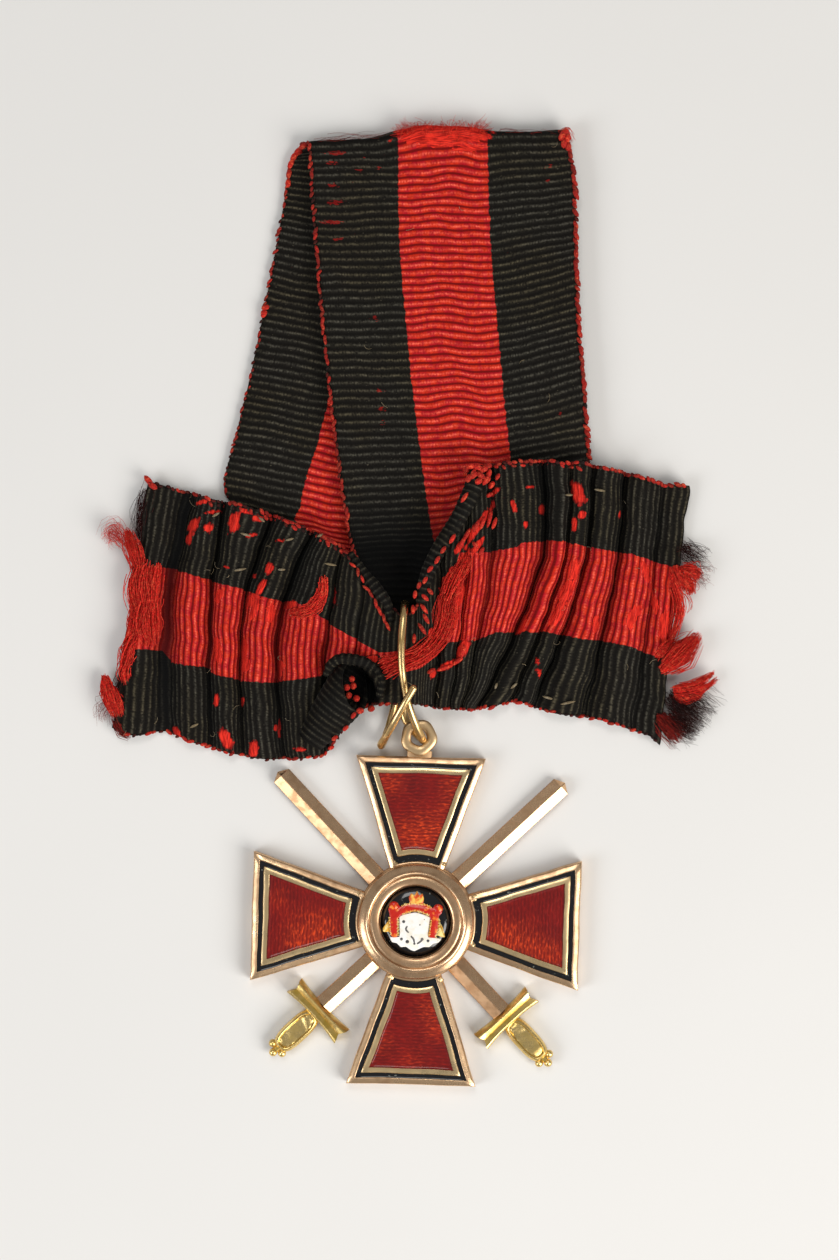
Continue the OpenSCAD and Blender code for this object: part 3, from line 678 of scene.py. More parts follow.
painted("crown_paint", CROWN, 0.22, crown_paint, "yellow_gold", "emblem_crown")
for word, outline in FRINGES.items():
    painted(f"fringe_paint_{word}", outline, 0.1, fringe_paint, "yellow_gold", f"emblem_fringe_{word}")

# %% Yellow edging of the mantle
EDGING = [
    [(-1.9, 0.3), (-1.86, -0.6), (-1.85, -1.5)], [(-2.8, 0.5), (-2.78, -0.6), (-2.55, -1.45)],
    [(1.62, 0.3), (1.52, -0.6), (1.44, -1.5)], [(2.42, 0.5), (2.45, -0.5), (2.15, -1.5)],
    [(-1.5, 0.76), (-0.9, 0.98), (-0.1, 1.22), (0.8, 0.98), (1.4, 0.76)],
    [(-1.6, 1.6), (-0.88, 1.88), (0.95, 1.86), (1.6, 1.55)]
]
edging_z, stroke_pitch = relief_z + 0.19, 0.16
STROKE_R = [0.03, 0.055, 0.03]
edging = Heap()
draw = np.random.default_rng(36)
for border in EDGING:
    line = curve_through([(x, y, edging_z) for x, y in border], np.linspace(0, len(border) - 1, 80))
    distance = lengths_along(line)
    for at in np.arange(0.1, distance[-1], stroke_pitch):
        k = np.searchsorted(distance, at)
        a = np.arctan2(*(line[k] - line[k - 1])[1::-1]) + np.pi / 2 + draw.normal() * 0.3
        half = draw.uniform(0.07, 0.18) * np.array([np.cos(a), np.sin(a), 0])
        stroke = tube([line[k] - half, line[k], line[k] + half], STROKE_R, 6, 0.5)
        edging.add(skin(turned(stroke, cross_turn)))
edging.make("mantle_edging", fringe_paint, "yellow_gold")

# %% Tail spots on the fur
fur_z = relief_z + 0.125
# Columns: place and radius.
SPOTS = [
    (-1.28, 0.0, 0.17), (0.44, -0.29, 0.08), (0.89, 0.29, 0.05), (-1.46, -1.85, 0.16),
    (-0.83, -2.1, 0.2), (-0.08, -2.3, 0.12), (0.72, -1.8, 0.17), (1.35, -1.95, 0.16)
]
STROKES = [
    [(-0.88, -0.45), (-1.02, -0.8), (-0.72, -1.15)], [(-0.48, -1.5), (-0.2, -1.8), (-0.08, -2.2)],
    [(0.2, -2.3), (0.5, -2.1), (0.85, -1.75)]
]
tails = Heap()
for x, y, r in SPOTS:
    tails.add(ball(turned([x, y, fur_z], cross_turn), r, 12, 0.15))
for stroke in STROKES:
    line = curve_through([(x, y, fur_z) for x, y in stroke], np.linspace(0, 2, 9))
    thickness = 0.07 + 0.03 * np.sin(np.linspace(0, np.pi, 9))
    tails.add(skin(turned(tube(line, thickness, 6, 0.4), cross_turn)))
tails.make("fur_tails", spot_paint, "black_enamel")

# %% [markdown]
# ## The swords
# A blade is a flat bar with two faces that meet in a ridge. What makes it look real is the narrow
# chamfer along every edge, which catches the light as a bright line, so each section has short
# faces at its corners, and the shading is kept sharp between the faces.

# %% Blades
blade_z, blade_w, blade_edge_h, blade_ridge_h = 0.35, 2.15, 0.5, 1.05
blade_reach, tip_angle = 21.5, 28
guard_r, guard_w = 14.05, 1.4
chamfer = 0.045


def blade_section(x, half, edge_h, ridge_h):
    side = [(half - chamfer, 0), (half, chamfer), (half, edge_h - chamfer), (half - chamfer, edge_h)]
    ridge = (chamfer, ridge_h - chamfer * 0.6)
    right = [*side, ridge]
    left = [(-y, z) for y, z in right[::-1]]
    return [(x, y, blade_z + z) for y, z in right + left]


def blade_rings():
    half = blade_w / 2
    start = -guard_r + guard_w / 2 + 0.04
    shoulder = blade_reach - half * np.tan(np.radians(tip_angle))
    return np.array([
        blade_section(start, half, blade_edge_h, blade_ridge_h),
        blade_section(shoulder - 0.06, half, blade_edge_h, blade_ridge_h),
        blade_section(shoulder + 0.02, half - 0.03, 0.49, 1.03),
        blade_section(blade_reach - 0.03, chamfer * 2.2, 0.42, 0.62),
        blade_section(blade_reach, chamfer * 1.4, 0.38, 0.55)
    ])


SWORDS = {"right": 44.5, "left": 134.7}
for word, angle in SWORDS.items():
    rings = turned(blade_rings(), angle + cross_turn)
    points, faces = skin(rings)
    # One face of the left blade is darker and duller.
    darker_duller_side = turned(points, -angle - cross_turn)[:, 1] > 0
    keep = {"patina": 0.12 + (0.55 if word == "left" else 0.0) * darker_duller_side}
    piece(f"blade_gold_{word}", points, faces, rose_gold, "rose_gold", (f"blade_{word}",), keep, 15)

# %% [markdown]
# The guard is a bar that widens to swallow tails, with a groove along its top. The grip has a raised
# bright rim round a sunken panel, and three small balls close the sword.

# %% Guards
hilt_z = 0.15
# Across the top of the guard from its blade side: place in half widths, height, how dark the film is.
GUARD = [
    (1.0, 0.95, 0.3), (0.62, 1.46, 0.2), (0.5, 1.53, 0.0), (0.4, 1.53, 0.0), (-0.1, 1.27, 0.1),
    (-0.16, 1.22, 0.7), (-0.24, 1.24, 0.7), (-0.7, 1.5, 0.5), (-0.8, 1.53, 0.0), (-0.88, 1.5, 0.0),
    (-1.06, 1.35, 0.0), (-1.1, 1.1, 0.2)
]
# Along the guard: place, half width and how far the notch between its tails has opened.
GUARD_ROWS = [
    (-3.7, 1.0, 0.45), (-3.62, 1.0, 0.42), (-3.1, 0.93, 0.14), (-2.5, 0.86, 0.0), (-1.6, 0.78, 0.0),
    (0.0, 0.74, 0.0)
]


def guard_ring(y, half, notch):
    """A section across the guard whose middle lags behind its tails by the notch."""
    groove, groove_half = -0.14, 0.9
    deep = [np.sign(y) * notch * (1 - min(abs(u - groove) / groove_half, 1)) for u, _, _ in GUARD]
    top = [(half * u - guard_r, y - back, z) for (u, z, _), back in zip(GUARD, deep)]
    bottom = [(x, end, 0.0) for x, end, _ in top[::-1]]
    return np.array(top + bottom) + [0, 0, hilt_z]


def guard_rings():
    rows = GUARD_ROWS + [(-y, half, notch) for y, half, notch in GUARD_ROWS[-2::-1]]
    return np.array([guard_ring(*row) for row in rows])

# %% Grips
grip_l, grip_sides = 5.1, 48
# From the edge of the grip inwards: inset, height, and how dark the film is there.
GRIP = [
    (0.7, 0.0, 0.3), (0.12, 0.0, 0.3), (0.0, 0.12, 0.3), (0.0, 0.95, 0.2), (0.05, 1.1, 0.0),
    (0.2, 1.28, 0.0), (0.3, 1.35, 0.0), (0.36, 1.33, 0.1), (0.45, 1.2, 0.5), (0.5, 1.18, 0.2),
    (0.62, 1.2, 0.05)
]


def grip_loop(inset, height):
    """A ring round the grip, which is a little wider in its middle."""
    a = TURN * np.arange(grip_sides) / grip_sides
    u, v = np.cos(a), np.sin(a)
    middle = -guard_r - guard_w / 2 - grip_l / 2 + 0.1
    x = middle + ((grip_l + 0.2) / 2 - inset) * np.sign(u) * np.abs(u) ** 0.6
    y = (1.08 + 0.15 * (1 - u * u) - inset) * np.sign(v) * np.abs(v) ** 0.5
    return np.stack([x, y, 0 * x + hilt_z + height], -1)

# %% Both hilts
bead_r, bead_z, neck_r, neck_z = 0.44, 0.66, 0.42, 0.6
grip_end = -guard_r - guard_w / 2 - grip_l
for word, sword in (("left", "right"), ("right", "left")):
    angle = SWORDS[sword] + cross_turn
    hilt = Heap()
    rings = guard_rings()
    film = [dark for _, _, dark in GUARD] + [0.3] * len(GUARD)
    hilt.add(skin(turned(rings, angle)), patina=[film] * len(rings))
    rings = np.array([grip_loop(*row[:2]) for row in GRIP])
    rings[-2:, :, 2] += 0.08 * ripples(70, 0.5, rings[-2:, :, 0], rings[-2:, :, 1])
    film = np.repeat(np.array([row[2] for row in GRIP])[:, None], grip_sides, 1)
    hilt.add(skin(turned(rings, angle)), patina=film)
    for x, y in ((-0.12, -0.72), (-0.12, 0.72), (-0.75, 0.0)):
        hilt.add(ball(turned([grip_end + x, y, hilt_z + bead_z], angle), bead_r, 18), patina=0.1)
    neck = [(grip_end + x, 0, hilt_z + neck_z) for x in (0.6, 0.2, -0.4)]
    hilt.add(skin(turned(tube(neck, neck_r, 12), angle)), patina=0.5)
    hilt.make(f"hilt_gold_{word}", yellow_gold, "yellow_gold", replaces=(f"hilt_{word}",), sharp=30)

# %% [markdown]
# ## The ring
# One bent wire, nipped off at both ends. It hangs round the neck of the bow, comes down the front
# and goes through the eyelet. Its route repeats the model's own points.

# %% Wire
ROUTE = [
    (-0.25, 24.7, 6.65), (-1.2, 23.1, 6.3), (-2.2, 21.3, 5.3), (-3.1, 19.7, 3.8), (-3.65, 18.75, 2.2),
    (-3.55, 18.7, 1.0), (-3.0, 20.1, 0.48), (-2.5, 21.9, 0.46), (-2.15, 23.6, 0.46), (-1.8, 26.5, 0.46),
    (-1.5, 30.0, 0.46), (-1.25, 32.6, 0.8), (-1.15, 33.45, 2.2), (-1.15, 33.45, 4.2),
    (-1.25, 32.4, 5.6), (-1.45, 30.2, 6.15), (-1.5, 28.2, 6.2), (-1.4, 26.4, 6.0), (-1.1, 24.4, 5.3),
    (-0.6, 22.5, 4.6), (0.05, 20.7, 3.6), (0.6, 19.5, 2.5), (0.75, 19.15, 1.45), (0.3, 19.55, 0.62),
    (-0.6, 20.5, 0.44), (-1.25, 21.7, 0.44), (-1.15, 23.6, 0.44), (-0.75, 26.2, 0.44),
    (-0.4, 28.6, 0.44)
]
wire_r = 0.4
where = np.linspace(0, len(ROUTE) - 1, 220)
line, radii = round_ended(curve_through(ROUTE, where), wire_r)
beaten = 1 + 0.05 * ripples(41, 3.0, line[:, 0], line[:, 1], line[:, 2])
rings = tube(line, radii * beaten, 16)
points, faces = skin(rings)
patina = (0.25 + 0.3 * ripples(43, 2.0, points[:, 0], points[:, 1], points[:, 2])).clip(0, 1)
piece("ring_wire", points, faces, wire_gold, "rose_gold", ("suspension_ring",), {"patina": patina})

# %% [markdown]
# ## Ribbed silk
# The ribbon is grosgrain: thick threads across it, covered by fine ones along it, so its surface
# is a row of round ribs. The ribs are real shape here. The material adds what is too fine for
# that: a painted highlight along each crest, painted shade in each valley, the covering threads,
# and the red that shows where the black has worn away. It also paints shade into the depth of
# the folds. It reads where it is from values kept on the mesh.

# %% Silk
def ribbed_silk():
    made = Finish("ribbed silk", {"Sheen Weight": 0.02, "Sheen Roughness": 0.4, "Specular IOR Level": 0.1})
    band, worn, across, along, gloom = made.kept("band", "worn", "across", "along", "gloom")
    # The woven stripe, and the red that shows where the black has worn away.
    side = band + made.grain(along * 1.6, across * 0.4) * 0.05 - 0.025
    woven_red = side.step(-0.006, 0.006) * (1.0 - side.step(0.994, 1.006))
    frayed = worn + made.grain(across * 2.2, along * 5.0, 2.0, 3.0) * 1.7 - 0.85
    smooth = frayed.step(0.42, 0.56)
    red = woven_red.larger(smooth)
    # Ribs, covering threads, and how unevenly the painted crest highlights fall.
    wave = (along * np.pi).sine()
    ridge = wave * wave
    cover = (across * 21.0 + made.grain(across * 2.0, along * 2.0) * 4.0).sine() * 0.5 + 0.5
    mottle = made.grain(across * 3.8, along * 2.8, 21.0, 3.0).step(0.36, 0.62)
    uneven = made.grain(across * 0.9, along * 0.9, 9.0, 3.0).step(0.3, 0.72)
    lint = made.grain(across * 3.0, along * 3.0, 5.0, 4.0)
    # line marks where the painted crest highlight lies on each rib.
    line = ridge ** 5.0 * (0.1 + 0.55 * mottle + 0.35 * cover)
    # Black silk with a painted highlight along each crest.
    highlight_tint_share = made.grain(across * 0.12, along * 0.1, 4.0).step(0.4, 0.6)
    grey = made.mixed(highlight_tint_share, colour(0.105, 0.088, 0.052), colour(0.091, 0.084, 0.064))
    painted_crest_highlight = line * (0.15 + uneven * 0.72) + ridge * mottle * 0.12
    dark = made.mixed(painted_crest_highlight, colour(0.0040, 0.0031, 0.0021), grey)
    dark = made.mixed(lint.step(0.65, 0.8) * 0.35, dark, colour(0.22, 0.19, 0.13))
    # Red silk with painted valley shade and crest highlights, and the bare threads of worn places.
    hue = made.grain(across * 1.4, along * 0.8, 31.0).step(0.38, 0.62)
    tint = made.mixed(hue, colour(0.44, 0.006, 0.014), colour(0.60, 0.024, 0.006))
    above_valley = ridge.step(0.0, 0.4) * (0.55 + 0.3 * mottle + 0.15 * uneven)
    warm = made.mixed(above_valley, colour(0.15, 0.002, 0.002), tint)
    warm = made.mixed(line * (0.25 + uneven * 0.8), warm, colour(0.98, 0.15, 0.09))
    strands = made.grain(across * 0.8, along * 9.0, 17.0, 3.0).step(0.38, 0.62)
    bare = made.mixed(strands, colour(0.30, 0.006, 0.004), colour(0.86, 0.035, 0.018))
    well_inside = worn.step(0.55, 0.95).larger(woven_red)
    bare = made.mixed(well_inside, colour(0.13, 0.003, 0.002), bare)
    warm = made.mixed(smooth * 0.88, warm, bare)
    # Painted shade: darker in the depth of folds, in the rolls and curl, and low on the front strand.
    shaded = made.mixed(red, colour(0.001, 0.001, 0.001), colour(0.06, 0.001, 0.001))
    lit = made.mixed(red, dark, warm)
    made.surface({"Base Color": made.mixed(gloom, lit, shaded), "Roughness": 0.75 - line * 0.15})
    made.bump(cover * 0.5 + lint * 0.8, 0.02)
    return made


silk = ribbed_silk()
print("nodes in the silk:", len(silk.tree.nodes))

# %% A wall of cloth from a grid of points
# How thick the cloth is between its ribs, and how far a rib stands out.
loop_thick, wing_thick, rib_rise = 0.34, 0.36, 0.09
# The cloth thins over its outer columns, and stays above the table.
edge_columns, edge_share, above_table = 3, 0.45, 0.03


def silk_wall(name, grid, rib, keep, thickness, replaces=(), below=0.0):
    """A closed ribbed wall. grid holds its middle points, and rib the height of the rib at each."""
    ahead, across = np.gradient(grid, axis=0), np.gradient(grid, axis=1)
    out = np.cross(ahead, across)
    out /= np.linalg.norm(out, axis=2, keepdims=True)
    columns = grid.shape[1]
    edge = np.minimum(np.arange(columns), np.arange(columns)[::-1]) / edge_columns
    half = (thickness / 2 + rib_rise * rib) * np.clip(edge_share + edge, 0, 1)
    top, bottom = grid + out * half[..., None], grid - out * half[..., None]
    bottom[..., 2] -= below
    rings = np.concatenate([top, bottom[:, ::-1]], axis=1)
    rings[..., 2] = np.maximum(rings[..., 2], above_table)
    both = {key: np.concatenate([value, value[:, ::-1]], axis=1) for key, value in keep.items()}
    points, faces = skin(rings)
    return piece(name, points, faces, silk, "silk_ribbon", replaces, both), top


def crest_of(phase):
    """The rounded top and narrow foot of a rib, at its phase from 0 to 1."""
    return np.abs(np.sin(np.pi * phase)) ** 0.62

# %% [markdown]
# ## The long ribbon
# It comes up behind, folds over at the top and comes down in front. The table gives its two
# selvedges, row by row, as in the model. Along its middle the rows are set by length, so that each
# rib has the same pitch.

# %% Rows of the long ribbon
# Columns: left selvedge x and y, right selvedge x and y, height.
BACK = [
    (-4.2, 34.7, 2.6, 34.7, 0.52), (-9.5, 38.6, 3.4, 36.6, 0.52), (-17.2, 42.8, 5.0, 38.6, 0.52),
    (-20.3, 45.6, 6.2, 40.2, 0.52), (-18.9, 52.2, 7.6, 46.8, 0.52), (-17.4, 58.6, 9.0, 53.2, 0.52),
    (-15.4, 68.4, 11.0, 63.4, 0.52), (-14.0, 76.0, 13.0, 72.6, 0.52), (-13.4, 79.9, 14.6, 78.6, 0.52)
]
FRONT = [
    (-11.2, 79.8, 16.5, 80.6, 1.8), (-11.0, 76.5, 16.9, 77.0, 1.8), (-10.5, 70.2, 17.0, 70.6, 1.8),
    (-9.6, 59.9, 17.4, 60.3, 1.8), (-8.6, 51.5, 18.1, 52.0, 1.8), (-7.5, 43.3, 17.6, 44.6, 1.8),
    (-6.4, 38.4, 9.6, 39.0, 1.8), (-3.9, 34.7, 4.6, 34.7, 1.8), (-2.4, 31.8, 1.8, 31.8, 1.5)
]
fold_r, fold_reach, fold_z = 0.64, 0.95, 1.16
FOLD = [
    (-11.75 + 0.5 * np.sin(a), 81.4 + fold_reach * np.cos(a), 15.9, 82.6 + fold_reach * np.cos(a),
     fold_z + fold_r * np.sin(a))
    for a in np.radians([-90, -50, -18, 18, 50, 90])
]
rows = np.array(BACK + FOLD + FRONT)
front_from = len(BACK) + (len(FOLD) - 1) / 2
print("rows of the long ribbon:", len(rows))

# %% Rows of ribs
per_rib = 6


def rib_rows(line, fine, pitch):
    """A line's length, its number of ribs, their phases, and where in fine each phase lies."""
    distance = lengths_along(line)
    ribs = int(round(distance[-1] / pitch))
    phase = np.arange(ribs * per_rib + 1) / per_rib
    return distance[-1], ribs, phase, np.interp(phase / ribs * distance[-1], distance, fine)

# %% Weave the long ribbon
pitch, ribbon_w, columns_across = 0.82, 27.5, 58
fine = np.linspace(0, len(rows) - 1, 4000)
left_x, left_y, right_x, right_y, height = curve_through(rows, fine).T
middle_line = np.stack([(left_x + right_x) / 2, (left_y + right_y) / 2, height], -1)
strand_l, ribs, phase, where = rib_rows(middle_line, fine, pitch)
lines = curve_through(rows, where)
share = np.linspace(0, 1, columns_across)
left, right = lines[:, [0, 1, 4]], lines[:, [2, 3, 4]]
grid = left[:, None] + (right - left)[:, None] * share[None, :, None]
print("long ribbon:", round(strand_l, 1), "mm along,", ribs, "ribs")

# %% Its sway, its puckered top and its bulge
# In millimetres: long waves, short ones, more of them in the middle, puckers, and waves of the stripe.
long_sway, short_sway, middle_sway, pucker_sway, stripe_sway = 0.08, 0.05, 0.06, 0.22, 0.16
top_bulge, side_bulge, bulge_reach = 0.95, 1.9, 46
length, width = np.meshgrid(phase * pitch, share * ribbon_w, indexing="ij")
at_fold = np.interp(front_from, where, phase) * pitch
from_fold = length - at_fold
on_front = from_fold > 0
middle_third = np.exp(-(((share - 0.5) / 0.2) ** 4))[None, :]
sway = long_sway * ripples(51, 7.0, width, length)
sway += (short_sway + middle_sway * middle_third) * ripples(52, 1.7, width, length * 0.4)
pucker = np.exp(-np.abs(from_fold) / 7.0) * middle_third
sway += pucker_sway * pucker * ripples(53, 2.2, width, length * 0.5)
# A few waves stand across the stripe of the front strand.
beside = share[None, :] - 0.56
sway += on_front * stripe_sway * np.sin(beside * 19) * np.exp(-((beside / 0.16) ** 2))
grid[..., 1] += np.where(on_front, -sway, sway)
grid[..., 1] += top_bulge * np.exp(-((from_fold / 2.2) ** 2)) * middle_third
grid[..., 2] += 0.03 * ripples(54, 6.0, width, length) + 0.12 * pucker * ripples(55, 2.0, width, length)
# The right side of the front strand bulges upwards between the fold and the bow.
rise = np.clip((share - 0.66) / 0.34, 0, 1)[None, :] ** 1.3
rise = rise * np.sin(np.pi * np.clip(from_fold / bulge_reach, 0, 1))
grid[..., 1] += side_bulge * on_front * rise
rib = crest_of(phase)[:, None] * (1 + 0 * width)
rib = rib * (0.85 + 0.25 * ripples(56, 3.0, width, length * 2)).clip(0.3, 1.1)
print("sway of the ribs:", round(float(np.abs(sway).max()), 2), "mm at most")

# %% Worn places on the long ribbon
def from_place(x, y, at_x, at_y, degrees):
    """How far points lie from a place, along a direction and across it."""
    a = np.radians(degrees)
    ahead = (x - at_x) * np.cos(a) + (y - at_y) * np.sin(a)
    aside = (y - at_y) * np.cos(a) - (x - at_x) * np.sin(a)
    return ahead, aside


def spots(x, y, places):
    """1 inside each worn place and 0 outside it. Rows hold x, y, length, width and direction."""
    worn = np.zeros_like(x)
    for at_x, at_y, long, wide, degrees in places:
        u, v = from_place(x, y, at_x, at_y, degrees)
        ragged = 1 + 0.35 * ripples(61, 0.4, x, y)
        off = np.abs(2 * u / long) ** 2.5 + np.abs(2 * v / wide) ** 2.5
        worn = np.maximum(worn, 1.25 - 0.75 * off * ragged)
    return np.clip(worn, 0, 1)


LOOP_WORN = [
    (-4.4, 63.8, 0.6, 0.7, 90), (-3.9, 56.1, 0.5, 0.9, 90), (-3.6, 54.2, 0.7, 0.8, 90),
    (-3.6, 52.7, 0.5, 0.6, 90), (-8.4, 81.2, 2.2, 0.5, 0), (-8.9, 80.2, 1.4, 0.5, 0),
    (-8.7, 77.8, 1.1, 0.5, 0), (-8.6, 76.0, 1.9, 0.6, 0), (-8.8, 73.9, 2.3, 0.5, 0),
    (-8.2, 72.1, 1.2, 0.4, 0), (-5.6, 80.5, 0.4, 0.8, 0), (-4.0, 79.6, 0.4, 0.6, 0),
    (14.0, 79.8, 0.6, 0.5, 0), (14.0, 78.3, 0.5, 0.5, 0), (-6.0, 79.4, 0.6, 0.4, 0),
    (15.3, 53.6, 0.4, 0.5, 0)
]
FOLD_WORN = [(3.05, 83.4, 8.9, 2.6, 2), (5.6, 81.7, 3.0, 0.5, 6)]
x, y = grid[..., 0], grid[..., 1]
worn = np.maximum(0.58 * spots(x, y, LOOP_WORN), 1.5 * spots(x, y, FOLD_WORN)) * on_front
print("worn share of the front strand:", round(float(worn[on_front[:, 0]].mean()), 3))

# %% Stripe and cloth of the long ribbon
# Where the stripe starts and how wide it is, as shares of the ribbon, at rows of the table.
STRIPE_START = (
    [0, 2, 3, 4, 6, 12, 15, 16, 17, 18, 19.2],
    [0.18, 0.18, 0.303, 0.315, 0.325, 0.345, 0.341, 0.333, 0.3225, 0.3225, 0.3205]
)
STRIPE_WIDE = ([12, 15, 16, 18, 19.2], [0.337, 0.345, 0.348, 0.35, 0.3425])
start, wide = (np.interp(where, *table)[:, None] for table in (STRIPE_START, STRIPE_WIDE))
row_w = np.hypot(*(right - left)[:, :2].T)[:, None]
band = (share[None, :] * row_w / ribbon_w - start) / wide
# Painted shade darkens the front strand towards its lower end.
gloom = on_front * np.clip((from_fold - 37.0) / 8, 0, 0.95)
keep = {"band": band, "worn": worn, "across": width, "along": length / pitch, "gloom": gloom}
loop, loop_top = silk_wall("ribbon_silk", grid, rib, keep, loop_thick, ("ribbon_loop",))
is_front = on_front[:, 0]

# %% [markdown]
# ## The bow
# Each row of the table is one fold or hollow of the gathered ribbon: a line from the lower to the
# upper selvedge with its heights. The wings keep those lines as the run of their ribs. Hollows
# are cut deeper than in the model along the creases that show dark, and small ripples make the
# cloth between them uneven. The two wings meet under the ring.

# %% Folds of the bow
# Columns: lower selvedge x and y, upper selvedge x and y, how far the fold bends to the right, and
# then heights at the lower end, the middle and the upper end, and the model's thickness.
BOW = np.array([
    (-32.1, 20.3, -28.3, 46.6, 0.0, 1.1, 1.2, 1.1, 1), (-29.7, 19.5, -26.5, 46.1, -0.6, 1.5, 2.0, 1.5, 1),
    (-26.6, 20.1, -23.8, 45.4, -1.2, 1.0, 1.1, 1.2, 1), (-23.9, 19.1, -22.2, 44.9, -1.0, 1.6, 2.1, 2.2, 1),
    (-21.7, 18.4, -20.2, 44.3, -0.9, 1.1, 1.5, 2.3, 1), (-20.0, 17.8, -17.9, 43.8, -1.3, 1.6, 2.4, 2.8, 1),
    (-18.4, 17.5, -15.1, 42.9, -1.9, 1.1, 1.7, 2.5, 1), (-16.1, 17.2, -13.0, 42.2, -2.2, 1.7, 2.8, 3.2, 1),
    (-13.9, 17.1, -10.8, 41.3, -2.6, 1.2, 2.2, 3.2, 1), (-11.7, 17.1, -9.0, 40.3, -1.6, 1.7, 3.2, 3.9, 1),
    (-9.6, 17.6, -7.7, 39.5, -0.8, 1.4, 3.1, 4.0, 1), (-8.2, 19.5, -6.6, 38.4, -0.2, 1.6, 3.7, 4.4, 1),
    (-7.2, 21.1, -5.3, 36.6, 0.0, 2.0, 4.2, 4.7, 1.2), (-5.8, 22.4, -3.9, 34.7, 0.0, 2.6, 4.6, 4.9, 1.6),
    (-3.6, 23.0, -2.6, 33.2, 0.0, 3.8, 5.0, 4.9, 2.8), (-1.4, 23.1, -1.3, 32.2, 0.0, 4.3, 5.2, 4.7, 3.2),
    (-0.3, 23.0, 0.2, 33.3, 0.0, 3.8, 5.0, 4.9, 2.8), (0.5, 22.9, 0.7, 35.6, 0.0, 3.0, 4.9, 5.0, 1.6),
    (1.2, 22.8, 1.4, 38.2, 0.1, 2.5, 4.6, 4.9, 1.2), (1.9, 22.7, 2.6, 40.3, 0.3, 1.9, 4.1, 4.8, 1),
    (2.7, 22.6, 4.0, 42.2, 0.5, 2.4, 4.5, 4.8, 1), (3.5, 22.6, 5.3, 44.2, 0.7, 1.7, 4.0, 4.7, 1),
    (4.2, 22.5, 6.2, 46.8, 0.9, 2.3, 4.4, 4.6, 1), (4.9, 22.5, 7.7, 48.2, 1.3, 1.7, 3.9, 4.4, 1),
    (5.6, 22.4, 10.5, 48.4, 2.2, 2.2, 4.3, 4.5, 1), (6.5, 22.4, 13.4, 48.6, 2.8, 1.3, 3.3, 4.0, 1),
    (8.0, 22.6, 14.9, 48.5, 2.6, 2.1, 3.9, 4.4, 1), (10.0, 23.1, 16.3, 48.3, 1.8, 1.3, 3.1, 4.0, 1),
    (11.2, 23.1, 17.5, 48.3, 2.0, 2.0, 3.6, 4.2, 1), (12.3, 22.8, 18.6, 48.0, 1.7, 1.1, 2.8, 3.8, 1),
    (14.8, 22.1, 20.3, 47.7, 1.3, 1.8, 2.8, 3.3, 1), (17.6, 21.6, 22.0, 47.4, 1.0, 1.1, 1.8, 1.9, 1),
    (20.2, 21.0, 23.9, 47.1, 0.6, 1.7, 2.2, 2.1, 1), (22.8, 20.2, 26.1, 46.5, 0.3, 1.1, 1.4, 1.3, 1),
    (24.6, 19.6, 27.8, 46.3, 0.1, 1.4, 1.7, 1.5, 1), (25.7, 18.6, 28.9, 46.2, 0.0, 1.0, 1.1, 1.0, 1)
])
# The row at which the wings meet.
NECK = 15
print("folds and hollows of the bow:", len(BOW))

# %% Creases of the bow
# Columns: row of the table, half width in rows, depth at the lower end, the middle and the upper end.
CREASES = [
    (2, 0.44, 0.7, 1.3, 1.2), (4, 0.27, 0.7, 1.2, 1.3), (6, 0.26, 0.7, 1.2, 1.3),
    (8, 0.28, 0.7, 1.3, 1.5), (10, 0.24, 0.6, 1.1, 0.8), (12, 0.24, 0.4, 0.7, 0.3),
    (19, 0.3, 0.5, 0.7, 0.3), (21, 0.3, 0.5, 0.7, 0.4), (23, 0.28, 0.5, 0.8, 0.7),
    (25, 0.34, 0.8, 1.4, 1.3), (27, 0.3, 0.6, 1.2, 0.7), (29, 0.34, 0.7, 1.4, 1.3),
    (31, 0.28, 0.7, 1.1, 1.1), (33, 0.26, 0.3, 0.6, 0.3)
]
# The mouth of the curled corner: middle, half length and half width, and the direction of its length.
MOUTH = (-5.9, 24.9, 3.0, 1.9, -54)
# The share of a fold's length at which it bends most, the lowest cloth, and the floor of the mouth.
fullest, lowest, mouth_floor = 0.62, 0.6, 0.6
print("creases:", len(CREASES))


def in_mouth(x, y):
    """1 well inside the mouth of the curled corner and 0 outside it."""
    at_x, at_y, long, wide, degrees = MOUTH
    u, v = from_place(x, y, at_x, at_y, degrees)
    return np.clip((1.0 - np.hypot(u / long, v / wide)) / 0.22, 0, 1)


def three_way(low, mid, up, t):
    """A smooth value along a fold from its values at the lower end, the middle and the upper end."""
    return low * (1 - t) * (1 - 2 * t) + mid * 4 * t * (1 - t) + up * t * (2 * t - 1)


def bow_grid(where, share):
    """Points on the bow's top face at fractional rows and shares from the lower to the upper end."""
    row = curve_through(BOW, where)[:, None, :]
    t = share[None, :]
    bent = 2 * t * (1 - t) + 0.5 * np.interp(t, [0, fullest, 1], [0, 1, 0])
    x = row[..., 0] + (row[..., 2] - row[..., 0]) * t + row[..., 4] * bent
    y = row[..., 1] + (row[..., 3] - row[..., 1]) * t
    z = three_way(row[..., 5], row[..., 6], row[..., 7], t)
    for at, spread, low, mid, up in CREASES:
        z = z - three_way(low, mid, up, t) * np.exp(-np.abs((where[:, None] - at) / spread) ** 1.6)
    fade = np.clip(np.abs(where[:, None] - NECK) / 3, 0.2, 1)
    x = x + fade * (0.11 * ripples(63, 4.0, x, y) + 0.035 * ripples(68, 0.9, x, y))
    y = y + fade * 0.12 * ripples(64, 4.0, x, y)
    z = z + fade * 0.05 * ripples(65, 3.4, x, y * 0.5)
    hole = in_mouth(x, y)
    return np.stack([x, y, np.maximum(z, lowest) * (1 - hole) + mouth_floor * hole], -1)


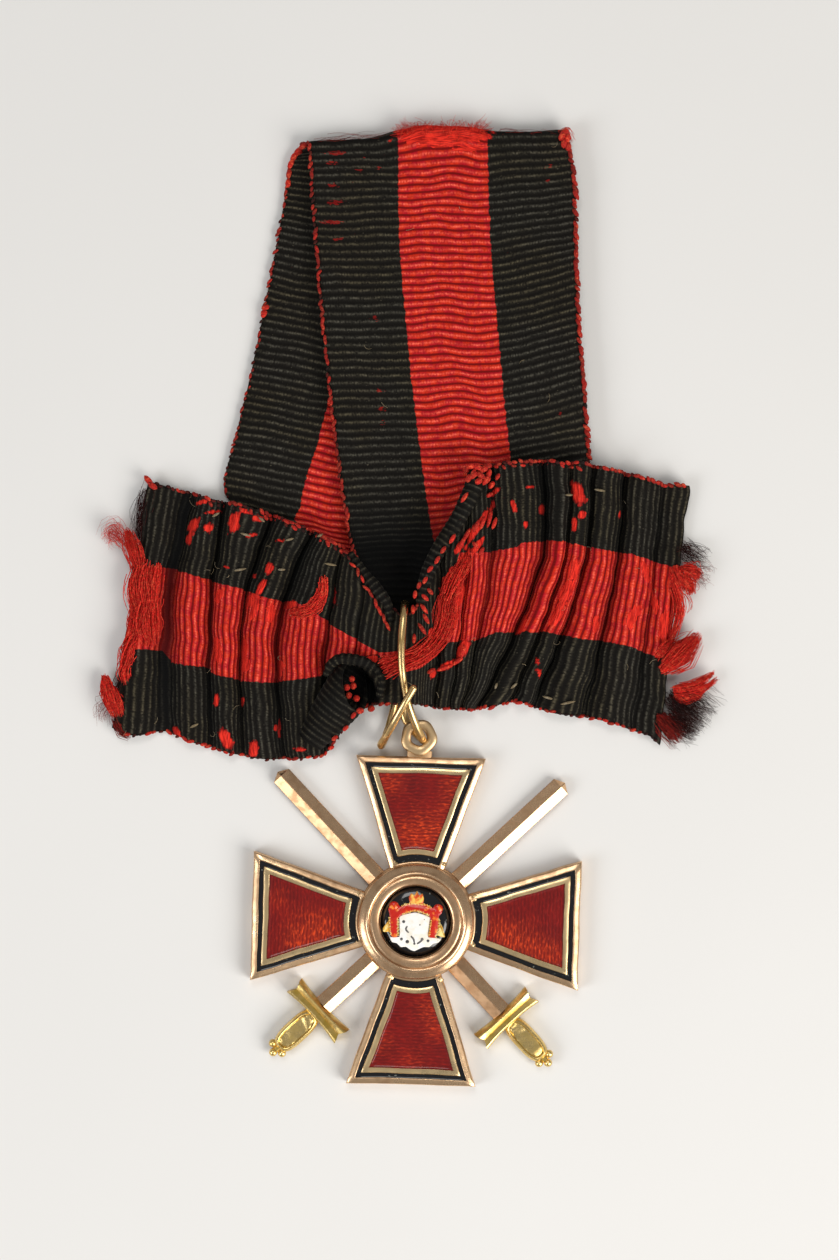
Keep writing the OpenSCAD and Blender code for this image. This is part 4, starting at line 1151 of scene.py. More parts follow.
def crease_gloom(where, share):
    """How much painted shade darkens the cloth in the depth of the creases, from 0 to 1."""
    gloom = 0.0
    for at, spread, low, mid, up in CREASES:
        deep = np.clip(three_way(low, mid, up, share[None, :]) / 1.1, 0, 1)
        gloom = gloom + deep * np.exp(-(((where[:, None] - at) / spread / 1.1) ** 2))
    return np.clip(gloom, 0, 1)

# %% Where the stripe runs on the wings
# Millimetres to a pixel of the photo, and the pixel over the middle of the cross.
px = 0.10574
centre_px = (415.8, 921.5)
# The stripe's borders on each wing, by place in the photo in pixels.
LEFT_TOP = [
    (110, 563), (142, 565), (172, 569), (194, 575.5), (211, 581), (242, 590), (281, 601.5), (298, 602.6),
    (315.5, 613.5), (339, 629), (361, 641.6), (380, 652.5), (392, 652), (402, 650)
]
LEFT_LOW = [
    (110, 647), (135.5, 649), (161.6, 651), (172.4, 663), (207, 668), (216, 674), (240, 681), (274, 683),
    (320, 676), (326, 665), (336, 656), (359, 656.6), (380, 654.7), (386, 664), (402, 672)
]
RIGHT_TOP = [
    (396, 654), (418, 648), (427, 640), (433, 628), (436, 605), (440, 581), (454, 572), (458, 553),
    (486, 553), (516, 548), (520, 543), (555, 541), (581, 546), (607, 550.6), (633, 555), (650, 561),
    (700, 574)
]
RIGHT_LOW = [
    (396, 674), (419, 668), (435, 656), (448.5, 641.6), (481, 639.5), (496, 632), (520, 632), (548, 632),
    (570, 637), (598, 640.6), (628.5, 646), (656.7, 657), (700, 664)
]


def from_photo(at_px, at_py):
    """Where a pixel of the photo lies, in millimetres."""
    return (at_px - centre_px[0]) * px, (centre_px[1] - at_py) * px


def stripe(x, y, top_px, low_px):
    """0 at the stripe's lower border and 1 at its upper one."""
    borders = [np.array([from_photo(*place) for place in border]) for border in (top_px, low_px)]
    top, low = (np.interp(x, border[:, 0], border[:, 1]) for border in borders)
    return (y - low) / np.maximum(top - low, 0.15)

# %% Weave a wing
wing_pitch, most_points = 0.66, 44000
# The middle of the cloth lies under the model's top face, and worn silk swells.
middle_below, worn_swell = 0.3, 0.12


def weave_wing(name, first, last, borders, places, replaces=()):
    fine = np.linspace(first, last, 6000)
    middle_line = bow_grid(fine, np.array([fullest]))[:, 0]
    wing_l, ribs, phase, where = rib_rows(middle_line, fine, wing_pitch)
    share = np.linspace(0, 1, most_points // len(phase))
    grid = bow_grid(where, share)
    length, width = np.meshgrid(phase * wing_pitch, share * ribbon_w, indexing="ij")
    x, y = grid[..., 0], grid[..., 1]
    rib = crest_of(phase)[:, None] * (0.85 + 0.3 * ripples(67, 2.5, x, y)).clip(0.35, 1.15)
    worn = spots(x, y, places)
    grid[..., 2] += worn_swell * worn - middle_below
    keep = {
        "band": stripe(x, y, *borders), "worn": worn, "across": width, "along": length / wing_pitch,
        # Painted shade in the creases and in the mouth of the curl.
        "gloom": np.maximum(crease_gloom(where, share), in_mouth(x, y))
    }
    thick = np.interp(where, np.arange(len(BOW)), BOW[:, 8])[:, None] - 1.0
    made, top = silk_wall(name, grid, rib, keep, wing_thick, replaces, below=thick * 0.9)
    print(name, "cloth length", round(wing_l, 1), "mm,", ribs, "ribs")
    return made, top, wing_l


LEFT_WORN = [
    (-25.8, 35.0, 1.0, 0.5, 90), (-20.7, 34.4, 1.5, 0.55, 65), (-17.5, 33.8, 1.7, 1.0, 40),
    (-16.3, 35.2, 1.8, 0.6, 65), (-18.1, 28.8, 2.6, 0.9, 90), (-17.9, 27.1, 1.3, 1.0, 80),
    (-15.4, 32.6, 1.9, 0.7, 80), (-14.4, 26.6, 2.2, 0.9, 75), (-20.8, 28.6, 2.8, 0.6, 95),
    (-27.6, 32.4, 4.0, 0.9, 95), (-13.2, 33.4, 1.6, 0.6, 20), (-27.9, 36.0, 2.6, 0.9, 80),
    (-4.6, 27.7, 1.6, 0.7, 10), (-2.6, 27.4, 2.2, 1.2, 5), (-23.45, 41.85, 1.6, 0.9, 60),
    (-21.96, 41.6, 0.9, 0.7, 30), (-23.9, 40.4, 1.3, 0.6, 80), (-19.1, 42.2, 2.1, 1.0, 85),
    (-15.4, 37.3, 1.2, 0.7, 80), (-21.0, 23.4, 1.3, 0.4, 85), (-18.2, 23.2, 1.0, 0.4, 85),
    (-20.1, 19.3, 2.3, 0.9, -68), (-17.1, 18.2, 1.9, 0.8, 85), (-25.2, 19.7, 1.8, 0.7, -75),
    (-14.5, 20.3, 1.9, 0.45, 85), (-8.5, 34.4, 2.0, 0.6, 88), (-22.6, 44.3, 1.1, 0.35, 20),
    (-21.4, 43.3, 1.3, 0.3, 10), (-17.9, 43.3, 1.5, 0.3, -20), (-16.8, 42.6, 1.0, 0.6, 0),
    (-13.7, 42.4, 1.3, 0.3, -15), (-9.2, 40.6, 1.3, 0.4, 5), (-7.6, 39.2, 0.9, 0.5, 40),
    (-16.9, 36.4, 0.5, 0.3, 80), (-17.5, 40.8, 1.4, 0.25, 15), (-19.9, 37.4, 0.6, 0.2, -30),
    (-14.2, 40.2, 1.0, 0.2, 0), (-15.0, 20.4, 0.6, 0.3, 80), (-12.2, 18.2, 0.9, 0.3, 0),
    (-16.9, 32.9, 2.2, 0.5, 70)
]
RIGHT_WORN = [
    (16.6, 37.2, 2.2, 0.8, 80), (15.9, 34.9, 2.6, 0.8, 65), (15.0, 32.5, 2.8, 0.7, 62),
    (22.9, 32.3, 2.8, 0.9, 60), (18.9, 31.4, 1.7, 0.5, 85), (25.2, 34.2, 3.4, 0.6, 108),
    (24.2, 37.0, 2.2, 0.6, 105), (11.3, 31.3, 2.2, 0.8, 70), (26.3, 31.5, 3.0, 0.7, 80),
    (3.6, 31.4, 2.6, 0.7, 65), (4.6, 34.4, 2.6, 0.6, 65), (17.1, 45.2, 2.4, 1.0, -75),
    (17.5, 42.9, 0.9, 0.45, 80), (16.8, 41.9, 1.5, 0.35, 88), (13.1, 43.5, 1.1, 0.6, 85),
    (11.5, 41.9, 0.7, 0.35, 85), (10.3, 43.8, 1.4, 0.35, -75), (11.9, 45.8, 0.7, 0.3, 0),
    (12.9, 27.5, 0.7, 0.3, 88), (12.9, 26.3, 0.9, 0.3, 88), (5.0, 28.8, 2.0, 0.75, 65),
    (3.6, 27.3, 2.6, 0.6, 35), (1.7, 26.2, 0.9, 0.5, 60), (7.9, 43.5, 2.2, 0.6, 62),
    (7.1, 42.6, 2.2, 0.55, 62), (6.3, 41.4, 2.5, 0.55, 60), (5.6, 40.1, 2.2, 0.5, 62),
    (6.5, 39.7, 1.8, 0.4, 60), (4.5, 39.5, 1.6, 0.4, 62), (4.6, 37.6, 2.4, 0.5, 66),
    (5.4, 38.4, 2.0, 0.45, 66), (3.6, 36.6, 1.7, 0.35, 70), (2.9, 34.3, 2.0, 0.35, -60),
    (2.7, 33.0, 1.8, 0.35, -55), (1.5, 30.4, 1.2, 0.5, 75), (8.4, 45.3, 1.3, 0.4, 45),
    (21.4, 43.0, 0.9, 0.2, 85), (3.5, 32.2, 2.4, 0.5, 60)
]
left_wing, left_top, left_l = weave_wing(
    "bow_silk_left", 0, NECK, (LEFT_TOP, LEFT_LOW), LEFT_WORN, ("bow",))
right_wing, right_top, right_l = weave_wing(
    "bow_silk_right", NECK, len(BOW) - 1, (RIGHT_TOP, RIGHT_LOW), RIGHT_WORN)

# %% [markdown]
# ## Rolled edges and the curled corner
# Two edges of the bow roll forward into thin tubes beside the neck, and its lower left corner curls
# into a wide one, open towards the neck. Their ribs run round them. The corner's mouth is cut on
# the slant, so that its hollow shows from above.

# %% Rolled edges
# Columns: a point on the middle line, and the radius there.
LEFT_ROLL = [
    (-6.9, 38.9, 4.2, 0.3), (-5.4, 36.9, 4.7, 0.46), (-3.9, 34.8, 5.0, 0.58), (-2.9, 33.2, 5.0, 0.5),
    (-2.5, 31.4, 5.0, 0.3)
]
MOUTH_ROLL = [
    (-9.5, 26.0, 3.9, 0.3), (-8.9, 27.2, 4.5, 0.45), (-7.9, 27.8, 4.8, 0.52), (-6.3, 27.7, 4.9, 0.52),
    (-4.9, 27.2, 4.9, 0.45), (-3.9, 26.4, 4.9, 0.4), (-3.6, 25.0, 4.8, 0.4), (-3.9, 23.6, 4.4, 0.4)
]
RIGHT_ROLL = [
    (6.5, 48.0, 4.3, 0.9), (6.3, 46.7, 4.5, 1.0), (5.7, 45.0, 4.7, 0.94), (4.3, 42.2, 4.9, 0.84),
    (2.6, 39.6, 5.0, 0.8), (1.5, 37.4, 5.0, 0.74), (0.8, 35.3, 5.0, 0.66), (0.5, 33.0, 4.9, 0.5)
]
roll_sides, roll_w = 28, 3.5


def roll(table, seed):
    """A thin ribbed tube along a rolled edge."""
    fine = np.linspace(0, len(table) - 1, 800)
    path = curve_through(table, fine)
    distance = lengths_along(path[:, :3])
    phase = np.arange(int(distance[-1] / wing_pitch) * per_rib + 1) / per_rib
    at = np.interp(phase * wing_pitch, distance, fine)
    row = curve_through(table, at)
    rings = tube(row[:, :3], row[:, 3] + 0.07 * crest_of(phase) - 0.035, roll_sides)
    rings += 0.05 * ripples(seed, 1.5, *np.moveaxis(rings, -1, 0))[..., None]
    return rings, phase


rolls = Heap()
roll_tops = []
for table, seed in ((LEFT_ROLL, 71), (RIGHT_ROLL, 72), (MOUTH_ROLL, 73)):
    rings, phase = roll(table, seed)
    roll_tops.append(rings)
    turn = np.arange(roll_sides) / roll_sides * roll_w
    length, width = np.meshgrid(phase * wing_pitch, turn, indexing="ij")
    # The rolled edges get a little painted shade all over.
    rolls.add(skin(rings), band=-1.0, worn=0.0, gloom=0.35, across=width, along=length / wing_pitch)

# %% Curled corner
CURL = [
    (-5.2, 27.0, 3.0, 2.3), (-7.0, 24.6, 2.8, 2.45), (-8.3, 22.8, 2.5, 2.3), (-9.6, 21.1, 2.1, 1.95),
    (-11.2, 19.0, 1.6, 1.4)
]
# The hollow ends a number of rings before the far end of the curl.
mouth_slant, curl_wall, curl_rib, blind_rings = 4.2, 0.4, 0.11, 30


def curl_shell(inset, rings_along=120, sides=56):
    """Rings of the curl's outer or inner face. Its upper side starts further from the mouth."""
    fine = np.linspace(0, len(CURL) - 1, 400)
    path = curve_through(CURL, fine)
    distance = lengths_along(path[:, :3])
    run = path[-1, :3] - path[0, :3]
    run /= np.linalg.norm(run)
    side = np.cross(run, [0, 0, 1])
    side /= np.linalg.norm(side)
    up = np.cross(side, run)
    turn = TURN * np.arange(sides) / sides
    late = mouth_slant * (0.5 + 0.5 * np.sin(turn - 0.9)) ** 0.9
    along = late[None, :] + (distance[-1] - late)[None, :] * np.linspace(0, 1, rings_along)[:, None]
    columns = [np.interp(along, distance, path[:, k]) for k in range(4)]
    rib = crest_of(along / wing_pitch)
    radius = columns[3] - inset + (curl_rib * rib if inset == 0 else -curl_rib * rib)
    middle = np.stack(columns[:3], -1)
    points = middle + radius[..., None] * (np.cos(turn)[:, None] * side + np.sin(turn)[:, None] * up)
    points[..., 2] = np.maximum(points[..., 2], 0.05)
    return points, rib, along, turn * 2.2


outer, rib, along, around = curl_shell(0)
inner = curl_shell(curl_wall)[0]
rings = np.concatenate([inner[::-1][blind_rings:], outer])
keep = {
    "along": np.concatenate([along[::-1][blind_rings:], along]) / wing_pitch,
    "across": np.broadcast_to(around, rings.shape[:2]),
    # Painted shade: the curl's inside is nearly black and its outside a little darker.
    "gloom": np.concatenate([0 * rib[blind_rings:] + 0.9, 0 * rib + 0.4])
}
rolls.add(skin(rings), band=-1.0, worn=0.0, **keep)
bow_rolls = rolls.make("bow_rolls", silk, "silk_ribbon")

# %% [markdown]
# ## Selvedges
# The ribbon's edges are bound by a red thread that loops round every rib and is half worn away. A
# bead stands for each loop: long, slanted and red, or short and black where the red has gone.

# %% Thread of the selvedges
def thread_finish(name, dull, bright, glint, sheen=0.1):
    made = Finish(name, {"Roughness": 0.7, "Sheen Weight": sheen, "Specular IOR Level": 0.15})
    tone, = made.kept("tone")
    speck = made.noise(6.0, 2.0).step(0.3, 0.7)
    lively = made.mixed(made.noise(3.0, 2.0).step(0.5, 0.66), bright, glint)
    made.surface({"Base Color": made.mixed(tone * (0.5 + 0.5 * speck), dull, lively)})
    made.bump(made.noise(9.0, 2.0), 0.03)
    return made


edge_thread = thread_finish(
    "selvedge thread", colour(0.008, 0.004, 0.003), colour(0.66, 0.022, 0.013),
    colour(0.82, 0.09, 0.035), sheen=0.03
)
print("selvedge finish:", edge_thread.material.name)

# %% A short thread and rows of them
bead_points, bead_sides = 7, 7


def thread(middle, ahead, long, fat, sag=0.4):
    """A bead of thread about its middle, with ends that dip into the cloth."""
    u = np.linspace(-1, 1, bead_points) * long / 2
    line = middle + u[:, None] * ahead + np.outer((u / long) ** 2, [0, 0, -sag])
    line[:, 2] = np.maximum(line[:, 2], fat + 0.02)
    taper = np.sqrt(np.clip(1.02 - (2 * u / long) ** 2, 0.02, 1))
    return skin(tube(line, fat * taper, bead_sides))


def loops(heap, line, spacing, long, red_share, seed, slant, fat, tones):
    """Beads along an edge. A few are black, where the red has worn off."""
    draw = np.random.default_rng(seed)
    line = np.asarray(line)
    distance = lengths_along(line)
    for at in np.arange(spacing / 2, distance[-1] - 0.3, spacing):
        middle = np.array([np.interp(at + draw.normal() * 0.07, distance, line[:, c]) for c in range(3)])
        ahead = np.array([np.interp(at + 0.3, distance, line[:, c]) for c in range(3)]) - middle
        ahead /= np.linalg.norm(ahead)
        side = np.cross(ahead, [0, 0, 1])
        lean = slant + draw.normal() * 0.25
        towards = ahead * np.cos(lean) + side * np.sin(lean) + [0, 0, draw.normal() * 0.1]
        red = draw.random() < red_share
        tone = draw.uniform(*tones) if red else draw.uniform(0, 0.15)
        scale = draw.uniform(0.75, 1.3) if red else 0.7
        middle = middle + side * draw.normal() * 0.06
        heap.add(thread(middle, towards, long * scale, fat * scale ** 0.5), tone=tone)

# %% Loops along every edge
dull, lively = (0.3, 0.68), (0.35, 0.85)
front_left, front_right = loop_top[is_front, 0], loop_top[is_front, -1]
back_left = loop_top[~is_front, 0]
left_bulge = left_top[len(left_top) // 5: -len(left_top) // 5, -1]
right_bulge = right_top[len(right_top) // 3: -len(right_top) // 3, -1]
# Columns: edge, shift, spacing, length, share of red loops, seed, slant, thickness and tones of the red.
EDGES = [
    (front_right, (-0.1, 0, 0.08), 0.62, 0.95, 0.95, 82, -0.3, 0.23, dull),
    (front_left[:-40], (0.08, 0, 0.1), 0.64, 0.8, 0.74, 81, 0.3, 0.18, dull),
    (back_left, (0.08, 0, 0.1), 0.64, 0.8, 0.74, 83, 0.3, 0.18, dull),
    (left_top[:, -1], (0, -0.05, 0.05), 0.62, 0.78, 0.68, 84, 0.35, 0.2, lively),
    (left_bulge, (0, -0.5, 0.1), 0.95, 0.8, 0.6, 88, 0.7, 0.2, lively),
    (left_top[:, 0], (0, 0.05, 0.05), 0.75, 0.75, 0.55, 85, -0.35, 0.19, lively),
    (right_top[:, -1], (0, -0.05, 0.05), 0.6, 0.82, 0.8, 86, 0.3, 0.22, lively),
    (right_bulge, (0, -0.45, 0.1), 0.95, 0.7, 0.5, 89, 0.7, 0.18, lively),
    (right_top[:, 0], (0, 0.05, 0.05), 0.7, 0.75, 0.68, 87, -0.3, 0.19, lively)
]
edges = Heap()
for line, shift, *how in EDGES:
    loops(edges, line + shift, *how)
print("points on the selvedges:", edges.count)

# %% How high the cloth lies at a place in the photo
tops = (loop_top, left_top, right_top, outer, *roll_tops)
cloth_points = np.concatenate([top.reshape(-1, 3) for top in tops])
near_by, in_mouth_z, beside_z = 0.3, 2.6, 1.0
print("points on top of the cloth:", len(cloth_points))


def cloth_height(x, y):
    """The top of the cloth at a place, or a low height where there is no cloth."""
    near = np.hypot(cloth_points[:, 0] - x, cloth_points[:, 1] - y) < near_by
    return max(cloth_points[near, 2].max(), in_mouth_z * in_mouth(x, y)) if near.any() else beside_z


def on_cloth(at_px, at_py, over=0.08):
    """The point on the cloth under a place that was read from the photo in pixels."""
    x, y = from_photo(at_px, at_py)
    return np.array([x, y, cloth_height(x, y) + over])

# %% [markdown]
# The next tables hold single raised threads by their place in the photo: dashes beside the rolled
# edges and in the fold at the neck, knots at the corners, beads in the curl's mouth and at the top
# fold, and bits of straw.

# %% Raised threads
# Columns: place in the photo in pixels, length in millimetres, direction in degrees.
DASHES = [
    (464, 499, 1.3, 55), (452, 540, 1.2, 60), (443, 551, 0.9, 55), (437, 561, 1.0, 60),
    (430, 570, 0.9, 50), (425, 581, 0.9, 60), (419, 586, 0.8, 70), (415, 595, 0.9, 80),
    (413, 610, 1.0, 90), (414, 639, 1.1, 85), (466, 536, 1.8, 60), (462, 543, 1.6, 60),
    (476, 527, 1.5, 65), (482, 524, 1.5, 70), (489, 520, 1.9, 75), (494, 524, 1.4, 70),
    (475, 546, 0.9, -50), (481, 552, 1.0, 60), (425, 598, 1.0, -45), (424, 609, 1.3, -55),
    (426, 619, 1.3, -60), (422, 629, 1.5, -55), (430, 592, 0.9, -50), (463, 651, 1.6, 75),
    (458, 661, 1.6, 35), (444, 668, 1.8, 20), (431, 671, 1.0, 30), (489, 496, 0.8, 30),
    (466, 470, 0.9, 30), (476, 467, 0.9, 10), (484, 470, 0.9, 70), (479, 477, 0.9, -30),
    (473, 474, 0.8, 60), (487, 482, 0.9, 50), (497, 478, 0.8, 60), (354, 715, 0.8, 55),
    (346, 728, 0.8, 45), (335, 738, 0.8, 40), (331, 748, 0.7, 30)
]
KNOTS = [
    (467, 471, 1.0, 60), (471, 468, 1.1, 10), (477, 469, 1.0, -20), (483, 471, 1.1, 30),
    (488, 475, 1.0, 70), (480, 477, 1.1, -40), (473, 477, 1.1, 40), (468, 480, 0.9, 70),
    (485, 482, 1.1, 60), (491, 486, 0.9, 50), (478, 483, 0.8, 30), (487, 467, 0.9, 0),
    (304, 145, 1.3, 25), (298.5, 149, 1.3, 40), (294, 154.6, 1.3, 50), (290.5, 162.4, 1.2, 65),
    (288.5, 172.2, 1.2, 80), (287.7, 182, 1.0, 85), (265, 306.5, 0.9, 15), (263.5, 313, 0.9, 60),
    (148, 480.5, 1.4, -50), (152.5, 486, 1.1, -35)
]
BEADS = [
    (347, 687.5, 0.65, 80), (353.5, 686, 0.6, 70), (349, 695.5, 0.6, 60), (356.5, 698.5, 0.6, 40),
    (360.5, 710.5, 0.75, 10), (371, 709, 0.75, 20), (352, 679, 0.5, 60), (565, 133, 1.1, 70),
    (562, 137, 1.0, 60), (567, 139, 1.0, 80), (564, 144, 1.0, 85), (568, 147, 0.9, 90)
]
STRAWS = [
    (599, 491, 1.2, -10), (548, 698, 1.2, -15), (568, 703, 1.6, 12), (496, 686, 0.7, 70),
    (514, 686, 0.9, 40), (568, 496, 0.8, 0), (246, 535, 1.2, -15), (216, 515, 0.9, 30),
    (194, 726, 1.0, 25), (240, 570, 1.4, 10), (331, 565, 1.3, -10), (262, 520, 0.8, -40),
    (290, 540, 0.9, 15), (282, 570, 0.8, 0), (321, 536, 0.8, 20)
]
SEAM = [(344, 549), (352, 562), (361, 577), (370, 594), (381, 614), (392, 633)]


def heading(degrees):
    a = np.radians(degrees)
    return np.array([np.cos(a), np.sin(a), 0.0])


draw = np.random.default_rng(95)
for rows, fat, over in ((DASHES, 0.23, 0.1), (KNOTS, 0.32, 0.15), (BEADS, 0.36, 0.2)):
    for at_px, at_py, long, degrees in rows:
        one = thread(on_cloth(at_px, at_py, over), heading(degrees), long, fat, 0.7)
        edges.add(one, tone=draw.uniform(0.6, 1.0))
seam = np.array([on_cloth(*place) for place in SEAM])
loops(edges, seam, 0.95, 0.95, 0.9, 96, 0.15, 0.17, lively)
edges.make("selvedge_loops", edge_thread, "silk_ribbon")

# %% Straw and lint
straw_fat, straw_over, lint_fat, lint_over, lint_count = 0.14, 0.12, 0.022, 0.07, 38
straw = Heap()
for at_px, at_py, long, degrees in STRAWS:
    middle = on_cloth(at_px, at_py, straw_over)
    straw.add(thread(middle, heading(degrees), long, straw_fat, 0.2), tone=0.45)
tops = (loop_top[is_front], left_top, right_top)
front_points = np.concatenate([top[2:-2, 2:-2].reshape(-1, 3) for top in tops])
for x, y, _ in front_points[draw.integers(0, len(front_points), lint_count)]:
    a, bend = draw.uniform(0, TURN), draw.normal() * 0.8
    swing = a + bend * np.linspace(-1, 1, 6)
    path = np.cumsum(np.stack([np.cos(swing), np.sin(swing)], -1), 0) * draw.uniform(0.08, 0.22) + [x, y]
    heights = [cloth_height(*place) + lint_over for place in path]
    straw.add(skin(tube(np.column_stack([path, heights]), lint_fat, 3)), tone=draw.uniform(0.4, 0.85))
straw_finish = thread_finish(
    "straw and lint", colour(0.03, 0.02, 0.01), colour(0.46, 0.35, 0.19), colour(0.52, 0.44, 0.30)
)
straw.make("straw_bits", straw_finish, "silk_ribbon")

# %% [markdown]
# ## Frayed ends and loose silk
# Both ends of the bow were cut and have frayed. The silk stands out there in soft locks of very
# fine threads: thick red ones, stray black fuzz, and a few long single hairs. Each lock is a seeded
# bundle of threads that follow one line and part from it more or less along the way.

# %% One lock of loose silk
# A lock of threads thicker than the first has a body. Threads thinner than the second curl more.
body_over, hair_under = 0.05, 0.03
body_points, thread_points, least_height = 12, 8, 0.06


def lock(heap, path, width, count, seed, thin, tone):
    """Threads along a path of points. width is their spread at each point."""
    draw = np.random.default_rng(seed)
    path = np.asarray(path, float)
    last = len(path) - 1
    run = np.gradient(path, axis=0)
    side = np.stack([-run[:, 1], run[:, 0], 0 * run[:, 0]], -1)
    side /= np.linalg.norm(side, axis=1, keepdims=True)
    if thin > body_over:
        u = np.linspace(0.1, 0.88, body_points) * last
        taper = np.sin(np.linspace(0.35, np.pi - 0.25, body_points)) ** 0.5
        body = np.interp(u, np.arange(last + 1), width) * 0.42 * taper
        heap.add(skin(tube(curve_through(path, u), body, 10, 0.7)), tone=np.mean(tone) * 0.75)
    wild = 0.3 if thin < hair_under else 0.12
    for _ in range(count):
        u = np.linspace(draw.uniform(0, 0.3), draw.uniform(0.65, 1.0), thread_points) * last
        spread = np.interp(u, np.arange(last + 1), width)
        line = curve_through(path, u)
        out = np.stack([np.interp(u, np.arange(last + 1), side[:, c]) for c in range(3)], -1)
        line = line + out * (draw.normal() * spread * 0.5)[:, None]
        line[:, 2] += draw.normal() * spread * 0.3
        curl = np.sin(u * draw.uniform(1.5, 7.0) + draw.uniform(0, TURN))[:, None]
        line += wild * curl * draw.normal(size=3)
        line[:, 2] = np.maximum(line[:, 2], least_height)
        fat = thin * (1.0 - 0.6 * np.linspace(0, 1, thread_points) ** 2)
        heap.add(skin(tube(line, fat, 3)), tone=draw.uniform(*tone))

# %% Locks at both ends and at the top fold
RED, DARK, ORANGE, BROWN = (0.6, 1.0), (0.0, 0.06), (0.65, 1.0), (0.1, 0.4)
# Columns: three points, spread at each, threads, tones, and how thick a thread is.
LEFT_TUFTS = [
    ([(-29.2, 36.9, 1.5), (-29.8, 39.2, 1.6), (-30.6, 41.6, 1.2)], (0.6, 0.8, 0.5), 140, RED, 0.055),
    ([(-28.6, 38.2, 1.7), (-29.0, 35.6, 1.8), (-28.6, 32.6, 1.6)], (0.7, 1.0, 0.8), 190, RED, 0.055),
    ([(-28.2, 34.4, 1.7), (-28.7, 31.6, 1.8), (-28.2, 29.0, 1.6)], (0.8, 1.1, 0.8), 190, RED, 0.055),
    ([(-27.3, 37.9, 1.6), (-27.8, 34.6, 1.8), (-27.5, 30.6, 1.5)], (0.5, 0.6, 0.4), 90, RED, 0.055),
    ([(-29.5, 37.4, 1.4), (-29.9, 34.9, 1.5), (-29.3, 32.4, 1.3)], (0.5, 0.7, 0.6), 120, RED, 0.055),
    ([(-29.1, 33.2, 1.4), (-29.7, 31.4, 1.5), (-29.6, 29.4, 1.3)], (0.6, 0.8, 0.7), 120, RED, 0.055),
    ([(-29.6, 30.4, 1.4), (-30.4, 28.4, 1.5), (-31.0, 26.4, 1.2)], (0.6, 0.9, 0.6), 170, ORANGE, 0.055),
    ([(-30.3, 27.6, 1.4), (-30.8, 26.2, 1.5), (-30.6, 25.0, 1.2)], (0.4, 0.6, 0.4), 90, RED, 0.055),
    ([(-33.0, 26.0, 1.0), (-32.5, 23.8, 1.4), (-31.6, 21.6, 1.0)], (0.3, 0.8, 0.5), 170, ORANGE, 0.055),
    ([(-32.0, 24.8, 1.0), (-31.5, 23.2, 1.3), (-31.0, 21.4, 1.0)], (0.3, 0.5, 0.3), 80, RED, 0.055),
    ([(-31.9, 21.4, 1.0), (-31.2, 20.0, 1.0), (-30.2, 19.5, 0.9)], (0.4, 0.5, 0.4), 60, BROWN, 0.04),
    ([(-28.5, 46.0, 0.9), (-29.2, 42.0, 0.9), (-29.4, 38.4, 0.9)], (0.5, 0.8, 0.6), 80, DARK, 0.024),
    ([(-30.0, 28.4, 0.9), (-31.3, 24.6, 0.9), (-31.6, 20.8, 0.9)], (0.6, 0.9, 0.7), 90, DARK, 0.024),
    ([(-30.4, 39.4, 1.2), (-32.2, 41.4, 1.4), (-32.8, 40.0, 0.9)], (0.8, 1.2, 1.4), 70, RED, 0.02),
    ([(-31.4, 24.0, 0.8), (-32.8, 22.4, 0.8), (-33.2, 20.8, 0.5)], (0.8, 1.2, 1.2), 40, BROWN, 0.02)
]
RIGHT_TUFTS = [
    ([(27.2, 37.6, 1.5), (27.9, 36.4, 1.7), (28.5, 35.0, 1.2)], (0.4, 0.65, 0.4), 150, RED, 0.055),
    ([(28.0, 37.3, 1.4), (29.2, 37.1, 1.6), (30.2, 36.3, 1.2)], (0.4, 0.7, 0.6), 150, RED, 0.055),
    ([(27.9, 36.6, 1.4), (28.9, 35.7, 1.5), (29.3, 34.6, 1.1)], (0.4, 0.6, 0.4), 110, RED, 0.055),
    ([(26.8, 36.8, 1.6), (27.8, 33.2, 1.6), (26.9, 29.6, 1.4)], (0.4, 0.6, 0.4), 90, RED, 0.06),
    ([(27.3, 36.0, 1.5), (29.1, 33.6, 1.2), (28.4, 32.2, 1.2)], (0.1, 0.3, 0.1), 4, ORANGE, 0.045),
    ([(25.9, 26.5, 1.5), (27.9, 28.3, 1.9), (30.0, 30.4, 1.2)], (0.5, 1.25, 0.5), 310, ORANGE, 0.055),
    ([(25.4, 27.9, 1.6), (26.4, 28.9, 1.8), (27.4, 29.9, 1.4)], (0.3, 0.55, 0.3), 90, ORANGE, 0.055),
    ([(27.2, 24.6, 1.3), (29.5, 25.0, 1.6), (31.6, 26.3, 1.0)], (0.3, 0.5, 0.15), 100, ORANGE, 0.055),
    ([(27.3, 24.2, 1.3), (29.7, 24.3, 1.5), (32.0, 25.6, 1.0)], (0.3, 0.45, 0.15), 90, RED, 0.055),
    ([(27.3, 23.8, 1.3), (28.9, 23.5, 1.4), (30.5, 24.0, 1.0)], (0.3, 0.45, 0.2), 70, RED, 0.055),
    ([(26.8, 24.2, 0.9), (29.0, 22.4, 1.0), (31.0, 20.8, 0.6)], (0.9, 2.2, 2.4), 240, DARK, 0.024),
    ([(26.2, 21.8, 0.9), (28.2, 20.6, 0.9), (30.0, 19.8, 0.6)], (0.8, 1.6, 1.8), 140, DARK, 0.024),
    ([(25.5, 21.8, 1.2), (26.8, 20.2, 1.2), (28.2, 19.0, 0.8)], (0.6, 1.0, 1.2), 140, BROWN, 0.04),
    ([(27.6, 39.6, 1.0), (29.2, 38.8, 1.0), (30.7, 37.6, 0.8)], (0.6, 1.2, 1.4), 100, DARK, 0.022),
    ([(28.6, 36.8, 1.2), (30.0, 36.4, 1.2), (31.0, 35.6, 0.8)], (0.9, 1.4, 1.6), 40, BROWN, 0.02)
]
